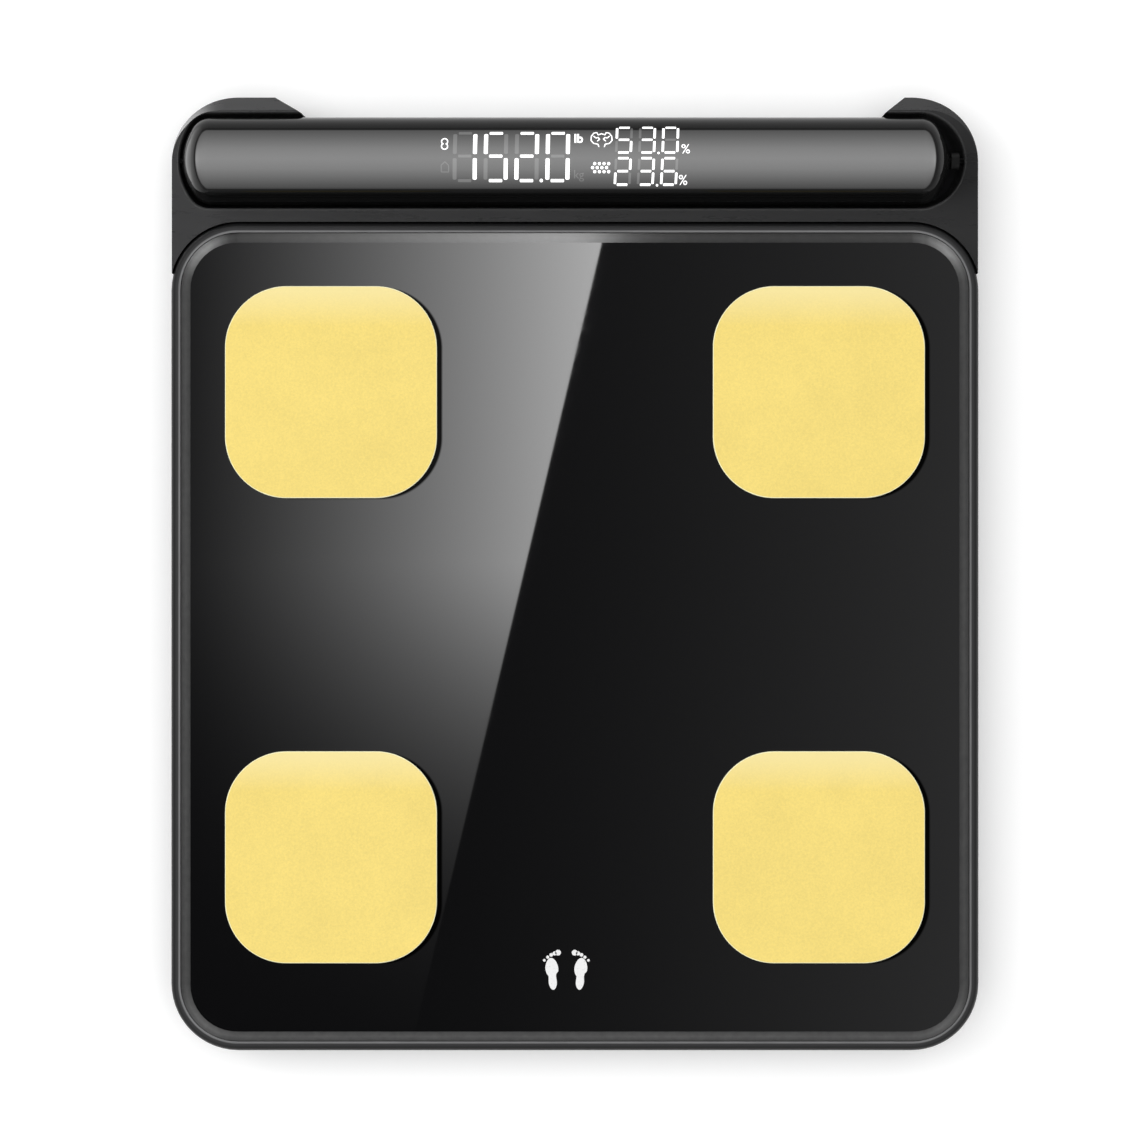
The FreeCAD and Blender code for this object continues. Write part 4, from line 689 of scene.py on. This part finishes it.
CAMERA_HEIGHT = 1.064
CARD_HEIGHT = 1.6
TENT_HEIGHT = 0.35
GLASS_MIRROR = 0.04  # the share of light that flat glass throws back
DISPLAY_GAMMA = 2.2
BEVEL_CARD = (0.0, 1.655, 1.437)  # a place that the camera sees mirrored in the rear bevel
BEVEL_SPREAD = 3.0  # metres along x on that card for each metre along the bevel


def floor():
    """A pale floor that is clear from below, so that the underside can be looked at."""
    g = Graph("floor_paint", (0.93, 0.93, 0.93), 0.6, Specular_IOR_Level=0.2)
    g.set("Emission Color", (1.0, 1.0, 1.0))
    g.set("Emission Strength", 0.14)
    g.set("Base Color", g.mix(g.noise(3.0, 3.0), (0.92, 0.92, 0.92), (0.94, 0.94, 0.94)))
    below = g.node("ShaderNodeNewGeometry", (), "Backfacing")
    clear = g.node("ShaderNodeBsdfTransparent")
    surface = g.node("ShaderNodeMixShader", {0: below, 1: g.shader.outputs[0], 2: clear})
    output = next(node for node in g.tree.nodes if node.type == "OUTPUT_MATERIAL")
    feed(g.tree, output.inputs["Surface"], surface)
    bpy.ops.mesh.primitive_plane_add(size=12.0, location=(0.0, 0.0, -0.0002))
    plane = bpy.context.object
    plane.name = "floor"
    plane.data.materials.append(g.material)


def world():
    """A pale studio: dim straight overhead and bright towards the horizon."""
    sky = bpy.data.worlds.new("studio")
    sky.use_nodes = True
    n = Nodes(sky.node_tree)
    direction = n.node("ShaderNodeTexCoord", (), 0)
    level = n.range(n.part(direction, 2), 0.12, 0.72, 0.8, 0.035)
    background = sky.node_tree.nodes["Background"]
    feed(n.tree, background.inputs["Color"], (1.0, 1.0, 1.0))
    feed(n.tree, background.inputs["Strength"], level)
    bpy.context.scene.world = sky


def area_light(name, location, width, depth, power, aim=(0.0, 0.0, 0.0)):
    """A rectangular light that the camera and mirror-like surfaces don't see."""
    data = bpy.data.lights.new(name, "AREA")
    data.shape = "RECTANGLE"
    data.size, data.size_y = width, depth
    data.energy = power
    lamp = bpy.data.objects.new(name, data)
    lamp.location = location
    direction = Vector(aim) - Vector(location)
    lamp.rotation_euler = direction.to_track_quat("-Z", "Y").to_euler()
    lamp.visible_camera = False
    lamp.visible_glossy = False
    bpy.context.scene.collection.objects.link(lamp)
    return lamp


def reflected_card(name, location, width, depth, aim, pieces, brightness):
    """A light seen in the gloss of just these pieces. brightness gives its radiance at a place on it."""
    lamp = area_light(name, location, width, depth, math.pi * width * depth, aim)
    lamp.visible_glossy = True
    receivers = bpy.data.collections.new(f"{name}_receivers")
    for piece in pieces:
        receivers.objects.link(piece)
    lamp.light_linking.receiver_collection = receivers
    lamp.data.use_nodes = True
    n = Nodes(lamp.data.node_tree)
    place = n.node("ShaderNodeNewGeometry")
    emission = next(node for node in n.tree.nodes if node.type == "EMISSION")
    feed(n.tree, emission.inputs["Strength"], brightness(n, n.part(place, 0), n.part(place, 1)))


def panel_tone(n, x, y):
    """A bright panel cut off along a slanting line, fading to the left and to the front.

    x and y are millimetres on the glass. The radiance is what the glass mirrors into the wanted tone.
    """
    front_x, front_y = -52.4, -151.1
    rear_x, rear_y = 10.2, 113.1
    fade_from, fade_length = 4.4, 49.0
    tone = n.math("MULTIPLY_ADD", x, 0.00403, 0.625)
    bright = n.math("POWER", n.math("MAXIMUM", tone, 0.08), DISPLAY_GAMMA)
    forward = n.math("MULTIPLY_ADD", y, -1 / fade_length, fade_from / fade_length)
    forward = n.math("MAXIMUM", forward, 0.0)
    fade = n.math("EXPONENT", n.times(n.math("POWER", forward, 1.35), -1.0))
    tone = n.math("MULTIPLY_ADD", x, 0.000747, 0.074)
    dim = n.math("POWER", n.math("MAXIMUM", tone, 0.02), DISPLAY_GAMMA)
    slant = (rear_x - front_x) / (rear_y - front_y)
    line = n.math("MULTIPLY_ADD", y, slant, rear_x - rear_y * slant)
    right = n.range(n.math("SUBTRACT", x, line), -0.15, 0.15)
    left = n.math("SUBTRACT", 1.0, right)
    total = n.add(n.times(n.times(bright, fade), left), n.times(dim, right))
    return n.times(total, 1 / GLASS_MIRROR)


def glass_reflection(n, x, y):
    """The panel seen in the flat glass: places on the card shrink to places on the glass."""
    depth = CAMERA_HEIGHT - GLASS_HIGH[2]
    shrink = depth / (depth + CARD_HEIGHT) / MM
    return panel_tone(n, n.times(x, shrink), n.times(y, shrink))


def bevel_reflection(n, x, _):
    """The same panel seen in the glass's rear bevel."""
    return panel_tone(n, n.times(x, 1 / BEVEL_SPREAD / MM), GLASS_HIGH[1] / MM)


def for_tube(radiance):
    """The radiance that the tube's slight gloss needs, to show what a plain gloss of 0.5 would show."""
    return radiance * 0.5 / TUBE_GLOSS


def tent_slope(n, y):
    """How far a place on the tent lies behind the barrel, against its height above it."""
    return n.math("MULTIPLY_ADD", y, 1 / TENT_HEIGHT, -TUBE_Y / TENT_HEIGHT)


def tent_reflection(n, slope):
    """A tent over the barrel, brightest along its ridge, fading to both sides and cut off behind."""
    away = n.times(n.math("ABSOLUTE", slope), 1 / 15)
    near = [(0.0, 1.0), (0.017, 0.93), (0.026, 0.88), (0.033, 0.855), (0.046, 0.742), (0.063, 0.645)]
    far = [(0.087, 0.524), (0.127, 0.403), (0.204, 0.289), (0.46, 0.166), (0.67, 0.12), (0.93, 0.0)]
    level = n.times(n.ramp(away, near + far), n.range(slope, 7.6, 6.4))
    return n.times(level, for_tube(6.2))


def tube_reflection(n, x, y):
    """The tent, cut to the spread that a view from above sees, so the tube stays black from the side."""
    slope = tent_slope(n, y)
    reach = n.math("MULTIPLY_ADD", n.math("ABSOLUTE", slope), 0.05, 0.21)
    beyond = n.math("SUBTRACT", n.math("ABSOLUTE", x), reach)
    return n.times(tent_reflection(n, slope), n.range(beyond, 0.1, 0.0))


def cap_reflection(n, x, y):
    """The tent, wide enough for the caps' round ends."""
    within = n.range(n.math("ABSOLUTE", x), 1.4, 0.9)
    return n.times(tent_reflection(n, tent_slope(n, y)), within)


def left_end_reflection(n, _, y):
    """A low panel beside the barrel's left end, fading to the front and rear."""
    away = n.math("ABSOLUTE", n.math("SUBTRACT", y, TUBE_Y))
    return n.range(away, 0.01, 0.085, for_tube(0.62), 0.0)


def horn_reflection(n, _, y):
    """A low panel beyond the left horn that leaves its rear edge dark."""
    return n.range(y, 0.6, 2.2, 20.0, 0.4)


def lights(unlit):
    """Two soft lights for everything, and cards for what the glass, the barrel and the horn mirror."""
    area_light("overhead", (0.0, 0.0, 2.4), 3.4, 3.4, 74.0)
    area_light("left_key", (-1.7, 0.5, 1.6), 1.2, 1.2, 12.0)

    glass = [NODES["glass_platform"]]
    place, aim = (0.0, 0.0, GLASS_HIGH[2] + CARD_HEIGHT), (0.0, 0.0, 0.0)
    reflected_card("slanting_panel", place, 1.4, 1.4, aim, glass, glass_reflection)
    aim = (0.0, GLASS_HIGH[1], GLASS_HIGH[2])
    reflected_card("bevel_panel", BEVEL_CARD, 1.3, 0.9, aim, glass, bevel_reflection)

    tube = [NODES["display_barrel"], unlit]
    caps = [NODES["barrel_cap_left"], NODES["barrel_cap_right"]]
    place, aim = (0.0, TUBE_Y, TUBE_Z + TENT_HEIGHT), (0.0, TUBE_Y, 0.0)
    reflected_card("tube_tent", place, 2.0, 10.0, aim, tube, tube_reflection)
    reflected_card("cap_tent", place, 2.8, 10.0, aim, caps, cap_reflection)

    left_end, card_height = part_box("barrel_cap_left")[0][0], 19.0 * MM
    place, aim = (left_end - 28.0 * MM, TUBE_Y, card_height), (0.0, TUBE_Y, card_height)
    reflected_card("left_end_card", place, 0.18, 0.036, aim, caps[:1], left_end_reflection)
    place, aim = (-0.8, 1.15, 0.35), (0.0, 1.15, 0.35)
    reflected_card("horn_card", place, 2.7, 0.6, aim, [NODES["rear_cover"]], horn_reflection)


def camera():
    """Straight above, nearly over the middle, with a long lens."""
    data = bpy.data.cameras.new("camera")
    data.lens = 100.0
    data.sensor_width = 36.0
    data.clip_end = 50.0
    eye = bpy.data.objects.new("camera", data)
    eye.location = (-0.0003, -0.0002, CAMERA_HEIGHT)
    bpy.context.scene.collection.objects.link(eye)
    bpy.context.scene.camera = eye
    bpy.context.scene.view_settings.view_transform = "Standard"


def main():
    camera()
    paint_nodes()
    unlit = display()
    footprints()
    floor()
    world()
    lights(unlit)


main()
